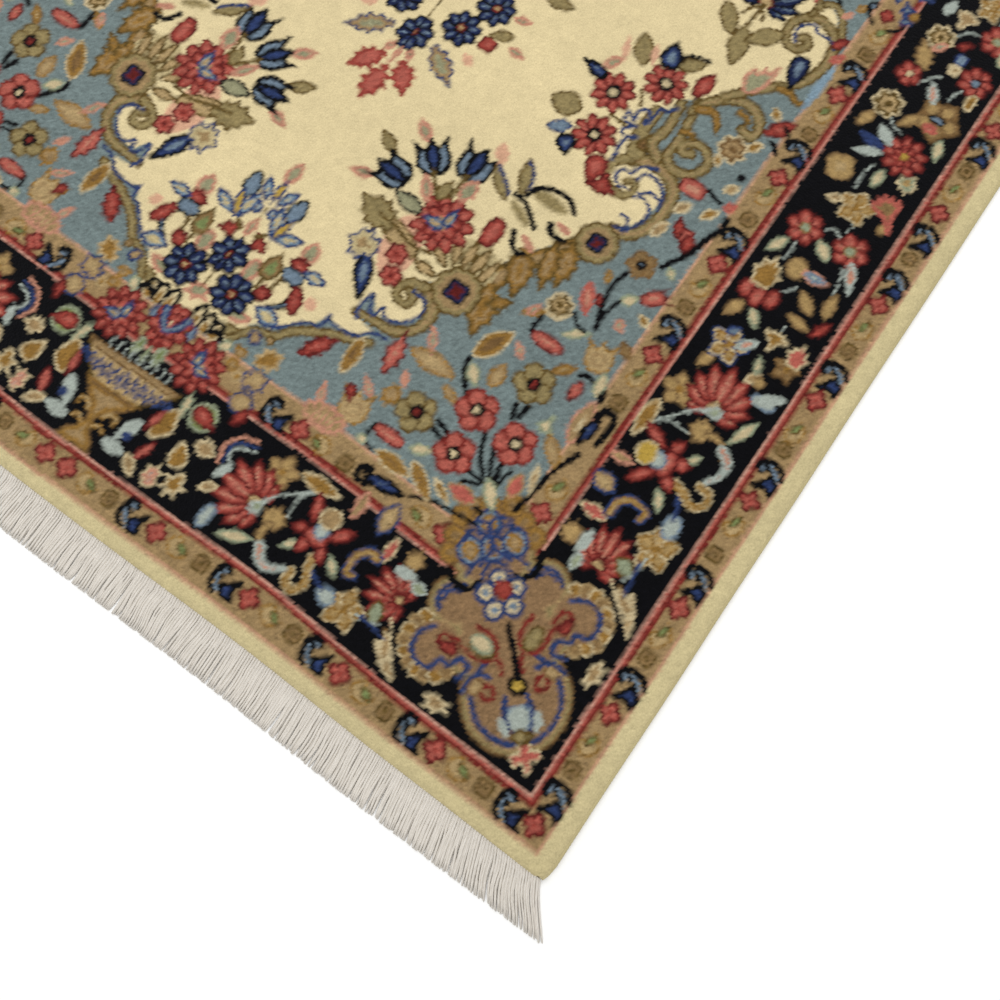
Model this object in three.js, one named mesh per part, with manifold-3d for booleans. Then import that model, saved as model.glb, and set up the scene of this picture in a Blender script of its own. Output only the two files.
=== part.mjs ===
import * as THREE from 'three';
import Module from 'manifold-3d';
import { mergeVertices } from 'three/addons/utils/BufferGeometryUtils.js';

// A hand-knotted wool rug lying flat, in millimetres.
// X runs across the width, Y along the length and Z up from the floor.

// Driving dimensions
const rugWidth = 1200;
const pileLength = 2000;
const rugThickness = 9;
const pileEdgeRoll = 7;
const cornerRadius = 11;
const selvageDiameter = 5.5;
const stripDepth = 6;
const stripHeight = 3.2;
const fringeReach = 38;
const fringeRagged = 4;
const strandCount = 140;
const strandWidth = 5.4;
const strandHeight = 2.7;
const strandSway = 1.6;
const strandTuck = 2;
const cornerSplay = 5;
const cornerSplayFade = 9;
const edgeWave = 3.2;
const edgeWaveFade = 8;
const pieceGap = 0.3;

// Sampling steps along the edges
const sideStep = 48;
const endStep = 42;
const cornerSteps = 5;
const selvageSides = 8;
const selvageRings = 56;
const fanRing = 4;
const weldDistance = 1e-4;

// Sizes worked out from the driving dimensions
const halfLength = pileLength / 2;
const slabHalfWidth = rugWidth / 2 - selvageDiameter - pieceGap;
const stripInner = halfLength + pieceGap;
const stripOuter = stripInner + stripDepth;
const strandRoot = stripOuter - strandTuck;
const fringeHalfWidth = rugWidth / 2 - cornerSplay;

// The edges of a knotted rug are never quite straight.
// Each row mixes long and short waves, and each is zero at both corners.
const edgeWaves = {
  left: [{ share: 0.6, waves: 3, skew: 0.25 }, { share: 0.4, waves: 7, skew: 0.1 }],
  right: [{ share: 0.85, waves: 1, skew: 0 }, { share: 0.15, waves: 8, skew: 0.3 }],
  near: [{ share: 0.85, waves: 2, skew: -0.39 }, { share: 0.15, waves: 5, skew: 0.2 }],
  far: [{ share: 0.5, waves: 2, skew: 0.3 }, { share: 0.5, waves: 5, skew: -0.15 }],
};

// Numbers that spread the strands' small differences, and where each end starts
const scatterMix = { index: 12.9898, seed: 78.233, scale: 43758.5453 };
const scatterStart = { near: 3, far: 11 };

// Rows of the pile's edge from the floor up: how far it draws in, and its height
const edgeProfile = [
  { inset: 0.8, height: 0 },
  { inset: 0, height: 1.6 },
  { inset: 0.3, height: 4.6 },
  { inset: 1.8, height: 6.9 },
  { inset: 4.2, height: 8.4 },
  { inset: pileEdgeRoll, height: rugThickness },
];

// Rows of one fringe strand: place along its reach, width and height shares
const strandProfile = [
  { along: 0, width: 0.82, height: 1 },
  { along: 0.36, width: 1, height: 0.9 },
  { along: 0.72, width: 0.94, height: 0.84 },
  { along: 1, width: 0.6, height: 0.6 },
];

const pileMaterial = new THREE.MeshStandardMaterial({
  color: 0xcdbc8c, roughness: 0.95, metalness: 0, name: 'wool_pile',
});
const selvageMaterial = new THREE.MeshStandardMaterial({
  color: 0xc8b98c, roughness: 0.92, metalness: 0, name: 'wool_overcast',
});
const fringeMaterial = new THREE.MeshStandardMaterial({
  color: 0xd8d2c4, roughness: 0.9, metalness: 0, name: 'cotton_warp',
});

// How far an edge draws in at a place from -1 to 1 along it
function drawIn(side, place) {
  const along = (place + 1) / 2;
  const turn = 2 * Math.PI;
  let total = 0;
  for (const row of edgeWaves[side]) {
    const skewed = along + row.skew * Math.sin(turn * along) / turn;
    total += row.share * (1 - Math.cos(turn * row.waves * skewed)) / 2;
  }
  return edgeWave * total;
}

// A steady value from 0 to 1 for a strand and a seed
function scatter(index, seed) {
  const wave = Math.sin(index * scatterMix.index + seed * scatterMix.seed) * scatterMix.scale;
  return wave - Math.floor(wave);
}

// The same value spread from -1 to 1
function swing(index, seed) {
  return 2 * scatter(index, seed) - 1;
}

// A closed body through rings of points, its two ends closed by fans
function loft(rings) {
  const ringSize = rings[0].length;
  const points = rings.flat(2);
  const triangles = [];
  for (let ring = 0; ring < rings.length - 1; ring += 1) {
    for (let corner = 0; corner < ringSize; corner += 1) {
      const next = (corner + 1) % ringSize;
      const lowA = ring * ringSize + corner;
      const lowB = ring * ringSize + next;
      triangles.push(lowA, lowB, lowB + ringSize);
      triangles.push(lowA, lowB + ringSize, lowA + ringSize);
    }
  }
  closeEnd(rings[0], 0, true, points, triangles);
  closeEnd(rings.at(-1), (rings.length - 1) * ringSize, false, points, triangles);
  if (signedVolume(points, triangles) < 0) triangles.reverse();
  const body = new THREE.BufferGeometry();
  body.setAttribute('position', new THREE.Float32BufferAttribute(points, 3));
  body.setIndex(triangles);
  return body;
}

// Closes one end: a small ring by a fan on its first point, a wide one by a middle point
function closeEnd(ring, start, flipped, points, triangles) {
  const count = ring.length;
  const pairs = [];
  let hub = start;
  if (count <= fanRing) {
    for (let corner = 1; corner < count - 1; corner += 1) pairs.push([corner, corner + 1]);
  } else {
    hub = points.length / 3;
    for (let axis = 0; axis < 3; axis += 1) {
      points.push(ring.reduce((sum, point) => sum + point[axis], 0) / count);
    }
    for (let corner = 0; corner < count; corner += 1) pairs.push([corner, (corner + 1) % count]);
  }
  for (const [from, to] of pairs) {
    if (flipped) triangles.push(hub, start + to, start + from);
    else triangles.push(hub, start + from, start + to);
  }
}

function signedVolume(points, triangles) {
  const corner = (place) => new THREE.Vector3().fromArray(points, triangles[place] * 3);
  let total = 0;
  for (let place = 0; place < triangles.length; place += 3) {
    total += corner(place).dot(corner(place + 1).cross(corner(place + 2)));
  }
  return total / 6;
}

function mesh(name, geometry, material) {
  geometry.computeVertexNormals();
  const part = new THREE.Mesh(geometry, material);
  part.name = name;
  return part;
}

// Knotted pile on its woven ground: one slab, flat below and rolled at its edges

// The slab's outline, drawn in by a given amount, as points on the plane
function slabOutline(inset) {
  const right = slabHalfWidth - inset;
  const top = halfLength - inset;
  const radius = cornerRadius - inset / 2;
  const sideCount = Math.round(2 * halfLength / sideStep);
  const endCount = Math.round(2 * slabHalfWidth / endStep);
  const outline = [];
  const corners = [
    { x: 1, y: -1, from: -0.5, straight: sideCount },
    { x: 1, y: 1, from: 0, straight: endCount },
    { x: -1, y: 1, from: 0.5, straight: sideCount },
    { x: -1, y: -1, from: 1, straight: endCount },
  ];
  corners.forEach((corner, index) => {
    const ahead = corners[(index + 1) % corners.length];
    const middle = [corner.x * (right - radius), corner.y * (top - radius)];
    for (let step = 0; step <= cornerSteps; step += 1) {
      const angle = Math.PI * (corner.from + 0.5 * step / cornerSteps);
      outline.push([
        middle[0] + radius * Math.cos(angle),
        middle[1] + radius * Math.sin(angle),
      ]);
    }
    const start = outline.at(-1);
    const end = [
      ahead.x * (right - radius) + radius * Math.cos(Math.PI * ahead.from),
      ahead.y * (top - radius) + radius * Math.sin(Math.PI * ahead.from),
    ];
    for (let step = 1; step < corner.straight; step += 1) {
      const share = step / corner.straight;
      outline.push([
        start[0] + (end[0] - start[0]) * share,
        start[1] + (end[1] - start[1]) * share,
      ]);
    }
  });
  return outline;
}

// Moves an outline point inwards with the waves of the edges that it lies near
function wavePoint([x, y]) {
  const side = x > 0 ? 'right' : 'left';
  const end = y > 0 ? 'far' : 'near';
  const sideShare = (Math.abs(x) / slabHalfWidth) ** edgeWaveFade;
  const endShare = (Math.abs(y) / halfLength) ** edgeWaveFade;
  return [
    x - Math.sign(x) * drawIn(side, y / halfLength) * sideShare,
    y - Math.sign(y) * drawIn(end, x / slabHalfWidth) * endShare,
  ];
}

function pileSlab() {
  const rings = edgeProfile.map(({ inset, height }) => (
    slabOutline(inset).map((point) => [...wavePoint(point), height])
  ));
  return loft(rings);
}

// Overcast selvage: a thin cord of wrapped wool along each long side

function selvageCord(sign, side) {
  const radius = selvageDiameter / 2;
  const reach = halfLength - cornerRadius / 2;
  const rings = [];
  for (let ring = 0; ring <= selvageRings; ring += 1) {
    const y = reach * (2 * ring / selvageRings - 1);
    const middle = sign * (rugWidth / 2 - radius - drawIn(side, y / halfLength));
    const section = [];
    for (let corner = 0; corner < selvageSides; corner += 1) {
      const angle = 2 * Math.PI * (corner + 0.5) / selvageSides;
      const spread = radius / Math.cos(Math.PI / selvageSides);
      section.push([middle + spread * Math.cos(angle), y, radius + spread * Math.sin(angle)]);
    }
    rings.push(section);
  }
  return loft(rings);
}

// End finish: a narrow woven strip with the warps left long as a fringe

function endStrip(end, sign) {
  const rings = [];
  const count = Math.round(2 * fringeHalfWidth / endStep);
  for (let ring = 0; ring <= count; ring += 1) {
    const x = fringeHalfWidth * (2 * ring / count - 1);
    const back = drawIn(end, x / slabHalfWidth);
    const inner = sign * (stripInner - back);
    const outer = sign * (stripOuter - back);
    rings.push([
      [x, inner, 0],
      [x, outer, 0],
      [x, outer, stripHeight],
      [x, inner, stripHeight],
    ]);
  }
  return loft(rings);
}

// One strand of three sides, flat on the floor and swaying a little as it runs out
function fringeStrand(end, sign, index, seed) {
  const place = 2 * (index + 0.5) / strandCount - 1;
  const x = place * (fringeHalfWidth - strandWidth / 2);
  const back = drawIn(end, x / slabHalfWidth);
  const lone = index === 0 || index === strandCount - 1;
  const reach = fringeReach - fringeRagged * scatter(index, seed) ** 2;
  const lean = lone ? 0 : strandSway * swing(index, seed + 1);
  const curl = lone ? 0 : strandSway * swing(index, seed + 2);
  const splay = cornerSplay * place ** cornerSplayFade;
  const rings = strandProfile.map(({ along, width, height }) => {
    const middle = x + (lean + splay) * along + curl * Math.sin(Math.PI * along);
    const y = sign * (strandRoot - back + (reach + strandTuck) * along);
    const half = strandWidth * width / 2;
    return [
      [middle - half, y, 0],
      [middle + half, y, 0],
      [middle, y, strandHeight * height],
    ];
  });
  return loft(rings);
}

function toSolid(wasm, geometry) {
  const bare = geometry.clone();
  bare.deleteAttribute('normal');
  bare.deleteAttribute('uv');
  const merged = mergeVertices(bare, weldDistance);
  return new wasm.Manifold(new wasm.Mesh({
    numProp: 3,
    vertProperties: new Float32Array(merged.attributes.position.array),
    triVerts: new Uint32Array(merged.index.array),
  }));
}

function toGeometry(solid) {
  const result = solid.getMesh();
  const geometry = new THREE.BufferGeometry();
  geometry.setAttribute('position', new THREE.Float32BufferAttribute(result.vertProperties, 3));
  geometry.setIndex(new THREE.Uint32BufferAttribute(result.triVerts, 1));
  return geometry;
}

function fringe(wasm, end, sign) {
  let whole = toSolid(wasm, endStrip(end, sign));
  for (let index = 0; index < strandCount; index += 1) {
    whole = whole.add(toSolid(wasm, fringeStrand(end, sign, index, scatterStart[end])));
  }
  return toGeometry(whole);
}

const wasm = await Module();
wasm.setup();

const rug = new THREE.Group();
rug.name = 'persian_rug';
rug.add(mesh('pile_carpet', pileSlab(), pileMaterial));
rug.add(mesh('selvage_left', selvageCord(-1, 'left'), selvageMaterial));
rug.add(mesh('selvage_right', selvageCord(1, 'right'), selvageMaterial));
rug.add(mesh('fringe_near', fringe(wasm, 'near', -1), fringeMaterial));
rug.add(mesh('fringe_far', fringe(wasm, 'far', 1), fringeMaterial));

export default rug;
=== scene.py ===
# Hand-knotted rug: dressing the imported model. Metres, Z up; the pattern itself is worked out in millimetres.
import math
import bpy
import numpy as np
from mathutils import Matrix


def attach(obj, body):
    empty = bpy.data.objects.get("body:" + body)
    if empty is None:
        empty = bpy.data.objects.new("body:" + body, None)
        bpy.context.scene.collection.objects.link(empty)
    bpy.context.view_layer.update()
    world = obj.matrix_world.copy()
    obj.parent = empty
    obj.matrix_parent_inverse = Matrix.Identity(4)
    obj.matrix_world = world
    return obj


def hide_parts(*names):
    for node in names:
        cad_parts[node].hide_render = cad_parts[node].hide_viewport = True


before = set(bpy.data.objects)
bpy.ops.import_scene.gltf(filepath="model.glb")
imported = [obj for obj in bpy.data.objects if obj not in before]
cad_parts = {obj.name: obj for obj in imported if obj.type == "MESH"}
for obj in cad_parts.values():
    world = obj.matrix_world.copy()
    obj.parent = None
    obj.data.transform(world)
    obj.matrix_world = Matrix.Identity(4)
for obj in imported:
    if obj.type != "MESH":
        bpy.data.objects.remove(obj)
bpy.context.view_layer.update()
mm = 0.001

# Dyed wools as seen in daylight, sRGB
wool = {
    "ivory": "D3C296", "band": "C4B68A", "greyBlue": "6A7776", "navy": "060609", "black": "060608",
    "red": "6C251F", "deepRed": "571B19", "coral": "A25549", "rose": "8A3A31", "salmon": "B07C66",
    "tan": "917853", "sand": "A38B62", "brown": "6B5130", "olive": "55431F", "gold": "84632F",
    "royal": "29375D", "sky": "667684", "sage": "838A70", "pale": "9AA299", "cream": "BAA984",
    "clay": "7C6340", "leafGreen": "6F7A4B", "yellow": "AA8D3E",
    "oliveTan": "85764F", "dustyRose": "B2896C", "paleRose": "B98C7A", "warmTan": "9C8153",
    "deepNavy": "1A2342", "inkBlue": "1F294C", "umber": "806547", "salmonPale": "C79B7E",
    "sageTint": "898769", "ivoryTan": "B0A077", "paleBlueTint": "768B98",
}
woolNames = list(wool)

# What each motif is dyed in: how deep inside its outline a colour starts, in mm
dyes = {
    "coral": ((0, "red"), (3.2, "coral")),
    "rose": ((0, "deepRed"), (3.0, "rose"), (6.5, "coral")),
    "red": ((0, "deepRed"), (3.0, "rose")),
    "salmon": ((0, "salmon"), (4.5, "sand")),
    "pinkSage": ((0, "salmon"), (3.4, "sage")),
    "coralPlain": ((0, "coral"), (5, "salmon")),
    "tan": ((0, "olive"), (2.6, "tan"), (7.5, "sand")),
    "sand": ((0, "brown"), (1.6, "tan"), (4, "sand")),
    "sandGold": ((0, "sand"), (3, "gold")),
    "gold": ((-1.6, "cream"), (0, "gold"), (5, "brown")),
    "goldPlain": ((0, "brown"), (1.6, "gold"), (5, "sand")),
    "olive": ((0, "olive"), (2.6, "oliveTan")),
    "oliveBud": ((0, "olive"), (3, "clay"), (6, "leafGreen")),
    "brown": ((0, "olive"), (3.5, "brown")),
    "sage": ((0, "pale"), (2.4, "sage")),
    "sageCream": ((0, "sage"), (2.6, "cream")),
    "pale": ((0, "pale"),),
    "palePink": ((0, "pale"), (3.4, "salmon")),
    "sky": ((0, "sky"),),
    "skyEdge": ((0, "royal"), (2.4, "sky")),
    "ivoryEdge": ((0, "royal"), (3.2, "paleBlueTint"), (5, "ivoryTan")),
    "tanEdge": ((0, "royal"), (2.6, "tan"), (6, "sand")),
    "navyBud": ((0, "black"), (4.2, "royal"), (7.6, "sky")),
    "navyPlain": ((0, "black"), (4.6, "royal")),
    "royal": ((0, "royal"),),
    "black": ((0, "black"),),
    "blackSky": ((0, "black"), (2.8, "sky")),
    "creamTan": ((0, "cream"), (2.4, "tan")),
    "creamGold": ((0, "cream"), (2.4, "gold")),
    "creamRed": ((0, "cream"), (2.2, "coral")),
    "cream": ((0, "cream"),),
}

# Outlines on a unit height. A list of one side runs from base to tip and is mirrored.
sides = {
    "leaf": ((0, 0), (.28, .14), (.5, .42), (.36, .74), (0, 1)),
    "slim": ((0, 0), (.38, .25), (.5, .52), (.26, .82), (0, 1)),
    "drop": ((0, 0), (.3, .03), (.5, .28), (.42, .56), (.16, .84), (0, 1)),
    "bud": ((0, 0), (.16, .02), (.3, .18), (.5, .42), (.42, .7), (.2, .88), (0, 1)),
    "tulip": ((0, 0), (.26, .04), (.46, .3), (.44, .66), (.5, 1), (.2, .74), (0, .98)),
    "cup": ((0, 0), (.3, .05), (.5, .4), (.42, .8), (.3, 1), (.2, .84), (0, 1)),
    "three": ((0, 0), (.14, .06), (.16, .3), (.4, .26), (.5, .46), (.4, .64), (.2, .62), (.22, .86),
              (0, 1)),
    "cross": ((0, 0), (.2, .04), (.2, .26), (.44, .3), (.5, .5), (.44, .7), (.2, .74), (.2, .96), (0, 1)),
    "fan": ((0, 0), (.12, .08), (.2, .4), (.5, .66), (.44, .84), (.3, .8), (.26, .96), (.12, .88), (0, 1)),
    "half": ((0, 0), (.34, .06), (.5, .4), (.4, .8), (.2, 1), (0, .92)),
    "oval": ((0, 0), (.27, .06), (.46, .28), (.5, .5), (.46, .72), (.27, .94), (0, 1)),
}
cutSides = {
    "jag": ((0, 0), (.22, .06), (.16, .16), (.44, .26), (.32, .36), (.5, .5), (.32, .56), (.36, .72),
            (.18, .76), (.12, .9), (0, 1)),
    "crown": ((0, 0), (.3, .02), (.36, .3), (.5, .5), (.3, .56), (.34, .8), (.14, .74), (0, 1)),
    "star": ((0, 0), (.12, .26), (.42, .1), (.26, .42), (.5, .6), (.2, .64), (.18, .86), (0, 1)),
    "oak": ((0, 0), (.1, .1), (.34, .16), (.24, .34), (.5, .42), (.34, .58), (.42, .74), (.2, .78), (0, 1)),
}
wholes = {
    "comma": ((-.1, 0), (.34, .16), (.5, .5), (.34, .84), (-.06, 1), (.06, .78), (-.08, .6), (-.4, .52),
              (-.5, .3)),
    "wing": ((0, 0), (.4, .22), (.5, .6), (.3, 1), (.1, .7), (-.1, .86), (-.18, .56), (-.4, .6), (-.5, .3)),
    "fig": ((0, 0), (.3, .1), (.5, .34), (.28, .5), (.42, .78), (.1, .74), (0, 1), (-.2, .72), (-.5, .7),
            (-.32, .46), (-.46, .22), (-.16, .16)),
    "moon": ((-.3, 0), (.2, .1), (.5, .5), (.3, .86), (-.2, 1), (.02, .7), (.06, .4)),
}

chartRoom = {"cell": 1.25, "wide": 600.0, "long": 1000.0, "unevenEdge": 0.55, "seed": 11}
across = int(chartRoom["wide"] / chartRoom["cell"])
along = int(chartRoom["long"] / chartRoom["cell"])
cellS = (np.arange(across) + 0.5) * chartRoom["cell"]
cellE = (np.arange(along) + 0.5) * chartRoom["cell"]
dice = np.random.default_rng(chartRoom["seed"])
handEdge = dice.normal(0, chartRoom["unevenEdge"], (along, across))
chart = np.zeros((along, across), np.uint8)


def smoothPath(points, closed, steps=5):
    p = np.array(points, float)
    if closed:
        a, b, c, d = np.roll(p, 1, 0), p, np.roll(p, -1, 0), np.roll(p, -2, 0)
    else:
        q = np.vstack([2 * p[0] - p[1], p, 2 * p[-1] - p[-2]])
        a, b, c, d = q[:-3], q[1:-2], q[2:-1], q[3:]
    t = np.arange(steps)[None, :, None] / steps
    a, b, c, d = (x[:, None, :] for x in (a, b, c, d))
    curve = 0.5 * (2 * b + (c - a) * t + (2 * a - 5 * b + 4 * c - d) * t**2 + (3 * b - a - 3 * c + d) * t**3)
    curve = curve.reshape(-1, 2)
    return curve if closed else np.vstack([curve, p[-1]])


def reachOf(path, margin):
    low, high = path.min(0) - margin, path.max(0) + margin
    c0, r0 = (max(0, int(x / chartRoom["cell"])) for x in low)
    c1 = min(across, int(high[0] / chartRoom["cell"]) + 1)
    r1 = min(along, int(high[1] / chartRoom["cell"]) + 1)
    return (slice(r0, r1), slice(c0, c1)) if c1 > c0 and r1 > r0 else None


def segmentDistance(window, ends, nextEnds):
    s, e = cellS[window[1]][None, :, None], cellE[window[0]][:, None, None]
    run = nextEnds - ends
    size = np.maximum((run**2).sum(1), 1e-9)
    t = np.clip(((s - ends[:, 0]) * run[:, 0] + (e - ends[:, 1]) * run[:, 1]) / size, 0, 1)
    return np.hypot(s - ends[:, 0] - t * run[:, 0], e - ends[:, 1] - t * run[:, 1]), t


def dye(window, depth, bands):
    part = chart[window]
    depth = depth + handEdge[window]
    for start, colour in bands:
        part[depth >= start] = woolNames.index(colour)


def fill(path, bands):
    window = reachOf(path, max(0, -bands[0][0]) + 2)
    if window is None:
        return
    after = np.roll(path, -1, 0)
    gap = segmentDistance(window, path, after)[0].min(2)
    s, e = cellS[window[1]][None, :, None], cellE[window[0]][:, None, None]
    spans = (path[:, 1] > e) != (after[:, 1] > e)
    rise = np.where(after[:, 1] == path[:, 1], 1e-9, after[:, 1] - path[:, 1])
    cross = spans & (s < path[:, 0] + (e - path[:, 1]) / rise * (after[:, 0] - path[:, 0]))
    inside = cross.sum(2) % 2 == 1
    dye(window, np.where(inside, gap, -gap), bands)


def stroke(path, startWidth, endWidth, bands):
    window = reachOf(path, max(startWidth, endWidth) + max(0, -bands[0][0]) + 2)
    if window is None:
        return
    gap, t = segmentDistance(window, path[:-1], path[1:])
    share = (np.arange(len(path) - 1) + t) / (len(path) - 1)
    width = startWidth + (endWidth - startWidth) * share
    dye(window, (width / 2 - gap).max(2), bands)


def outlineOf(shape):
    if shape in wholes:
        return smoothPath(wholes[shape], True)
    if shape in cutSides:
        one = np.array(cutSides[shape], float)
        return np.vstack([one, one[-2:0:-1] * (-1, 1)])
    one = np.array(sides[shape], float)
    return smoothPath(np.vstack([one, one[-2:0:-1] * (-1, 1)]), True)


outlines = {shape: outlineOf(shape) for shape in (*sides, *cutSides, *wholes)}


# The sides were woven a little longer than the ends
sideStretch = {"e": (0, 240, 285, 320, 360, 420, 600), "by": (0, 0, 6, 13, 18, 20, 20)}


def placed(points, s, e, turn, swap=False):
    # local up is toward the field at turn 0, local right toward the side edge
    t = math.radians(turn)
    up, right = (-math.sin(t), math.cos(t)), (-math.cos(t), -math.sin(t))
    points = np.asarray(points, float)
    path = points[:, :1] * np.array(right) + points[:, 1:] * np.array(up) + (s, e)
    if swap:
        path = path[:, ::-1].copy()
        path[:, 1] += np.interp(path[:, 1], sideStretch["e"], sideStretch["by"])
    return path


def motif(shape, s, e, turn, high, wide, dyeName, swap=False):
    if shape in flowers:
        flowers[shape](s, e, turn, high, wide, dyeName, swap)
        return
    unit = outlines[shape]
    y = unit[:, 1]
    fill(placed(np.column_stack([unit[:, 0] * wide, (y - 0.5) * high]), s, e, turn, swap), dyes[dyeName])


def lobed(radius, lobes, notch, squash=1.0):
    around = np.linspace(0, 2 * math.pi, 12 * lobes if lobes else 32, endpoint=False)
    reach = radius * (1 - notch + notch * np.abs(np.cos(lobes * around / 2)))
    return np.column_stack([reach * np.sin(around), reach * np.cos(around) * squash])


def spun(points, angle):
    # turned about the root, as the petals stand around a flower
    x, y = points[:, 0], points[:, 1]
    return np.column_stack([x * math.cos(angle) + y * math.sin(angle),
                            y * math.cos(angle) - x * math.sin(angle)])


petalsMeetAt = 0.56


def petalRing(s, e, turn, radius, petals, dyeName, swap, petalWide=1.15, inner=0.12):
    wide = petalWide * 2 * math.pi * radius * petalsMeetAt / petals
    for k in range(petals):
        a = 2 * math.pi * (k + 0.5) / petals
        unit = outlines["oval"] * (wide, radius * (1 - inner)) + (0, radius * inner)
        fill(placed(spun(unit, a), s, e, turn, swap), dyes[dyeName])


def disc(s, e, radius, bands, swap=False, lobes=0, notch=0.0, turn=0):
    fill(placed(lobed(radius, lobes, notch), s, e, turn, swap), bands)


def poppy(petals):
    def draw(s, e, turn, high, wide, dyeName, swap):
        centre = {"coral": "cream", "rose": "cream", "olive": "red", "tan": "red"}.get(dyeName, "sky")
        petalRing(s, e, turn, high / 2, petals, dyeName, swap, 1.36, 0.06)
        disc(s, e, high * 0.17, ((0, "black"), (4.2, centre)), swap)
    return draw


def rosette(s, e, turn, high, wide, dyeName, swap):
    disc(s, e, high * 0.45, ((0, "black"),), swap, 8, 0.07, turn + 22.5)
    petalRing(s, e, turn, high / 2, 8, dyeName, swap, 1.4)
    disc(s, e, high * 0.15, ((0, "black"), (2.2, "red"), (4.4, "sand")), swap)


def eyeRose(s, e, turn, high, wide, dyeName, swap):
    petalRing(s, e, turn, high / 2, 11, "coralDark", swap, 1.45)
    petalRing(s, e, turn, high * 0.33, 8, "coralDark", swap, 1.4)
    disc(s, e, high * 0.15, ((0, "coral"), (3, "sand")), swap)
    for x, y, lean in ((-0.14, 0.05, -45), (0.14, 0.05, 45)):
        a = math.radians(lean)
        drop = (outlines["drop"] - (0, 0.5)) * (0.2 * high, 0.36 * high)
        fill(placed(spun(drop, a) + (x * high, y * high), s, e, turn, swap),
             ((0, "royal"), (2.8, "sky"), (4.2, "sand")))


def smileRose(s, e, turn, high, wide, dyeName, swap):
    petalRing(s, e, turn, high / 2, 9, "coralDark", swap, 1.45)
    petalRing(s, e, turn, high * 0.32, 7, "coralDark", swap, 1.4)
    smile = np.array(((-0.3, 0.28), (-0.2, 0.04), (0, -0.1), (0.2, 0.04), (0.3, 0.28))) * high
    stroke(placed(smoothPath(smile, False), s, e, turn, swap), 8, 8, ((0, "royal"), (2.8, "sky")))
    disc(s, e + high * 0.05, high * 0.1, ((0, "coral"), (2, "cream")), swap)


def redRose(s, e, turn, high, wide, dyeName, swap):
    disc(s, e, high / 2, ((0, "deepRed"), (2.6, "rose")), swap, 6, 0.2, turn)
    for k in range(6):
        a = 2 * math.pi * (k + 0.5) / 6
        disc(s + high * 0.26 * math.cos(a), e + high * 0.26 * math.sin(a), high * 0.09, ((0, "coral"),),
             swap)
    disc(s, e, high * 0.08, ((0, "deepRed"),), swap)


def guardRose(s, e, turn, high, wide, dyeName, swap):
    disc(s, e, high * 0.53, ((0, "deepRed"), (2.8, "rose")), swap, 4, 0.3, turn)
    disc(s, e, high * 0.33, ((0, "coral"),), swap, 4, 0.5, turn)
    disc(s, e, high * 0.1, ((0, "rose"),), swap)


def guardNut(s, e, turn, high, wide, dyeName, swap):
    disc(s, e, high / 2, ((0, "olive"), (2.4, "clay"), (6, "olive"), (8, "tan")), swap, 4, 0.12, turn + 45)


def guardLeaf(s, e, turn, high, wide, dyeName, swap):
    motif("comma", s, e, turn, high, high * 0.8, "clayLeaf", swap)
    fill(placed(outlines["leaf"] * (high * 0.36, high * 0.66) + (-high * 0.08, -high * 0.2), s, e,
                turn + 25, swap), ((0, "olive"), (2, "leafGreen")))


def guardHook(s, e, turn, high, wide, dyeName, swap):
    # a crook over a blue bud; mirrored where its width is below nothing
    unit = np.array((-high if wide < 0 else high, high))
    for route, thick, ends, colour in (
            (((-.05, .3), (-.2, .45), (-.43, .41), (-.54, .16), (-.54, -.12), (-.44, -.37), (-.22, -.5)),
             .2, .2, "black"),
            (((-.16, .28), (-.32, .26), (-.36, .08), (-.3, -.12), (-.18, -.26), (0, -.3)), 0.26, 0.22,
             "black"),
            (((-.18, .24), (-.32, .25), (-.38, .08), (-.31, -.14), (-.19, -.3), (.04, -.42)), 0.13, 0.12,
             "sky"),
            (((-.37, .2), (-.24, .02), (-.14, .06)), 0.13, 0.1, "black")):
        stroke(placed(smoothPath(np.array(route) * unit, False), s, e, turn, swap), thick * high,
               ends * high, ((0, colour),))
    bud = ((.5, .34), (.3, .22), (.1, .04), (-.12, -.12), (-.04, -.36), (.1, -.54), (.36, -.54),
           (.64, -.44), (.48, -.3), (.44, -.06), (.54, .14))
    fill(placed(smoothPath(np.array(bud) * unit, True), s, e, turn, swap), ((0, "black"), (4.2, "royal")))


def fanFlower(s, e, turn, high, wide, dyeName, swap):
    # palmette seen from the side: petals spread from its foot, the middle one on top
    for lean in (-104, 104, -76, 76, -50, 50, -25, 25, 0):
        a = math.radians(lean)
        foot = (0, -0.34 * high)
        petal = outlines["bud"] * (0.3 * wide, (0.62 + 0.3 * math.cos(a)) * high)
        fill(placed(spun(petal, a) + foot, s, e, turn, swap), dyes[dyeName])
        rib = np.array(((0, 0.2), (0, 0.75))) * (1, high * (0.62 + 0.3 * math.cos(a)))
        stroke(placed(spun(rib, a) + foot, s, e, turn, swap), 1.8, 1.8,
               ((0, "salmon" if dyeName == "coralDark" else "sky"),))
    fill(placed(outlines["drop"] * (0.3 * wide, 0.3 * high) - (0, 0.44 * high), s, e, turn, swap),
         ((0, "deepRed"), (2.2, "sand")))


def lowPalmette(s, e, turn, high, wide, dyeName, swap):
    fill(placed(lobed(wide / 2, 11, 0.14, high / wide), s, e, turn, swap), dyes[dyeName])
    for x in (-0.3, -0.15, 0, 0.15, 0.3):
        rib = np.array(((x * 0.4, -0.4), (x, 0.3))) * (wide, high)
        stroke(placed(rib, s, e, turn, swap), 2, 2, ((0, "salmon"),))


def lily5(s, e, turn, high, wide, dyeName, swap):
    for k in (1, 4, 2, 3, 0):
        a = 2 * math.pi * k / 5
        petal = outlines["leaf"] * (0.42 * high, 0.54 * high)
        fill(placed(spun(petal, a), s, e, turn, swap), dyes[dyeName])
    disc(s, e, high * 0.1, ((0, "gold"),), swap)


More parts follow.
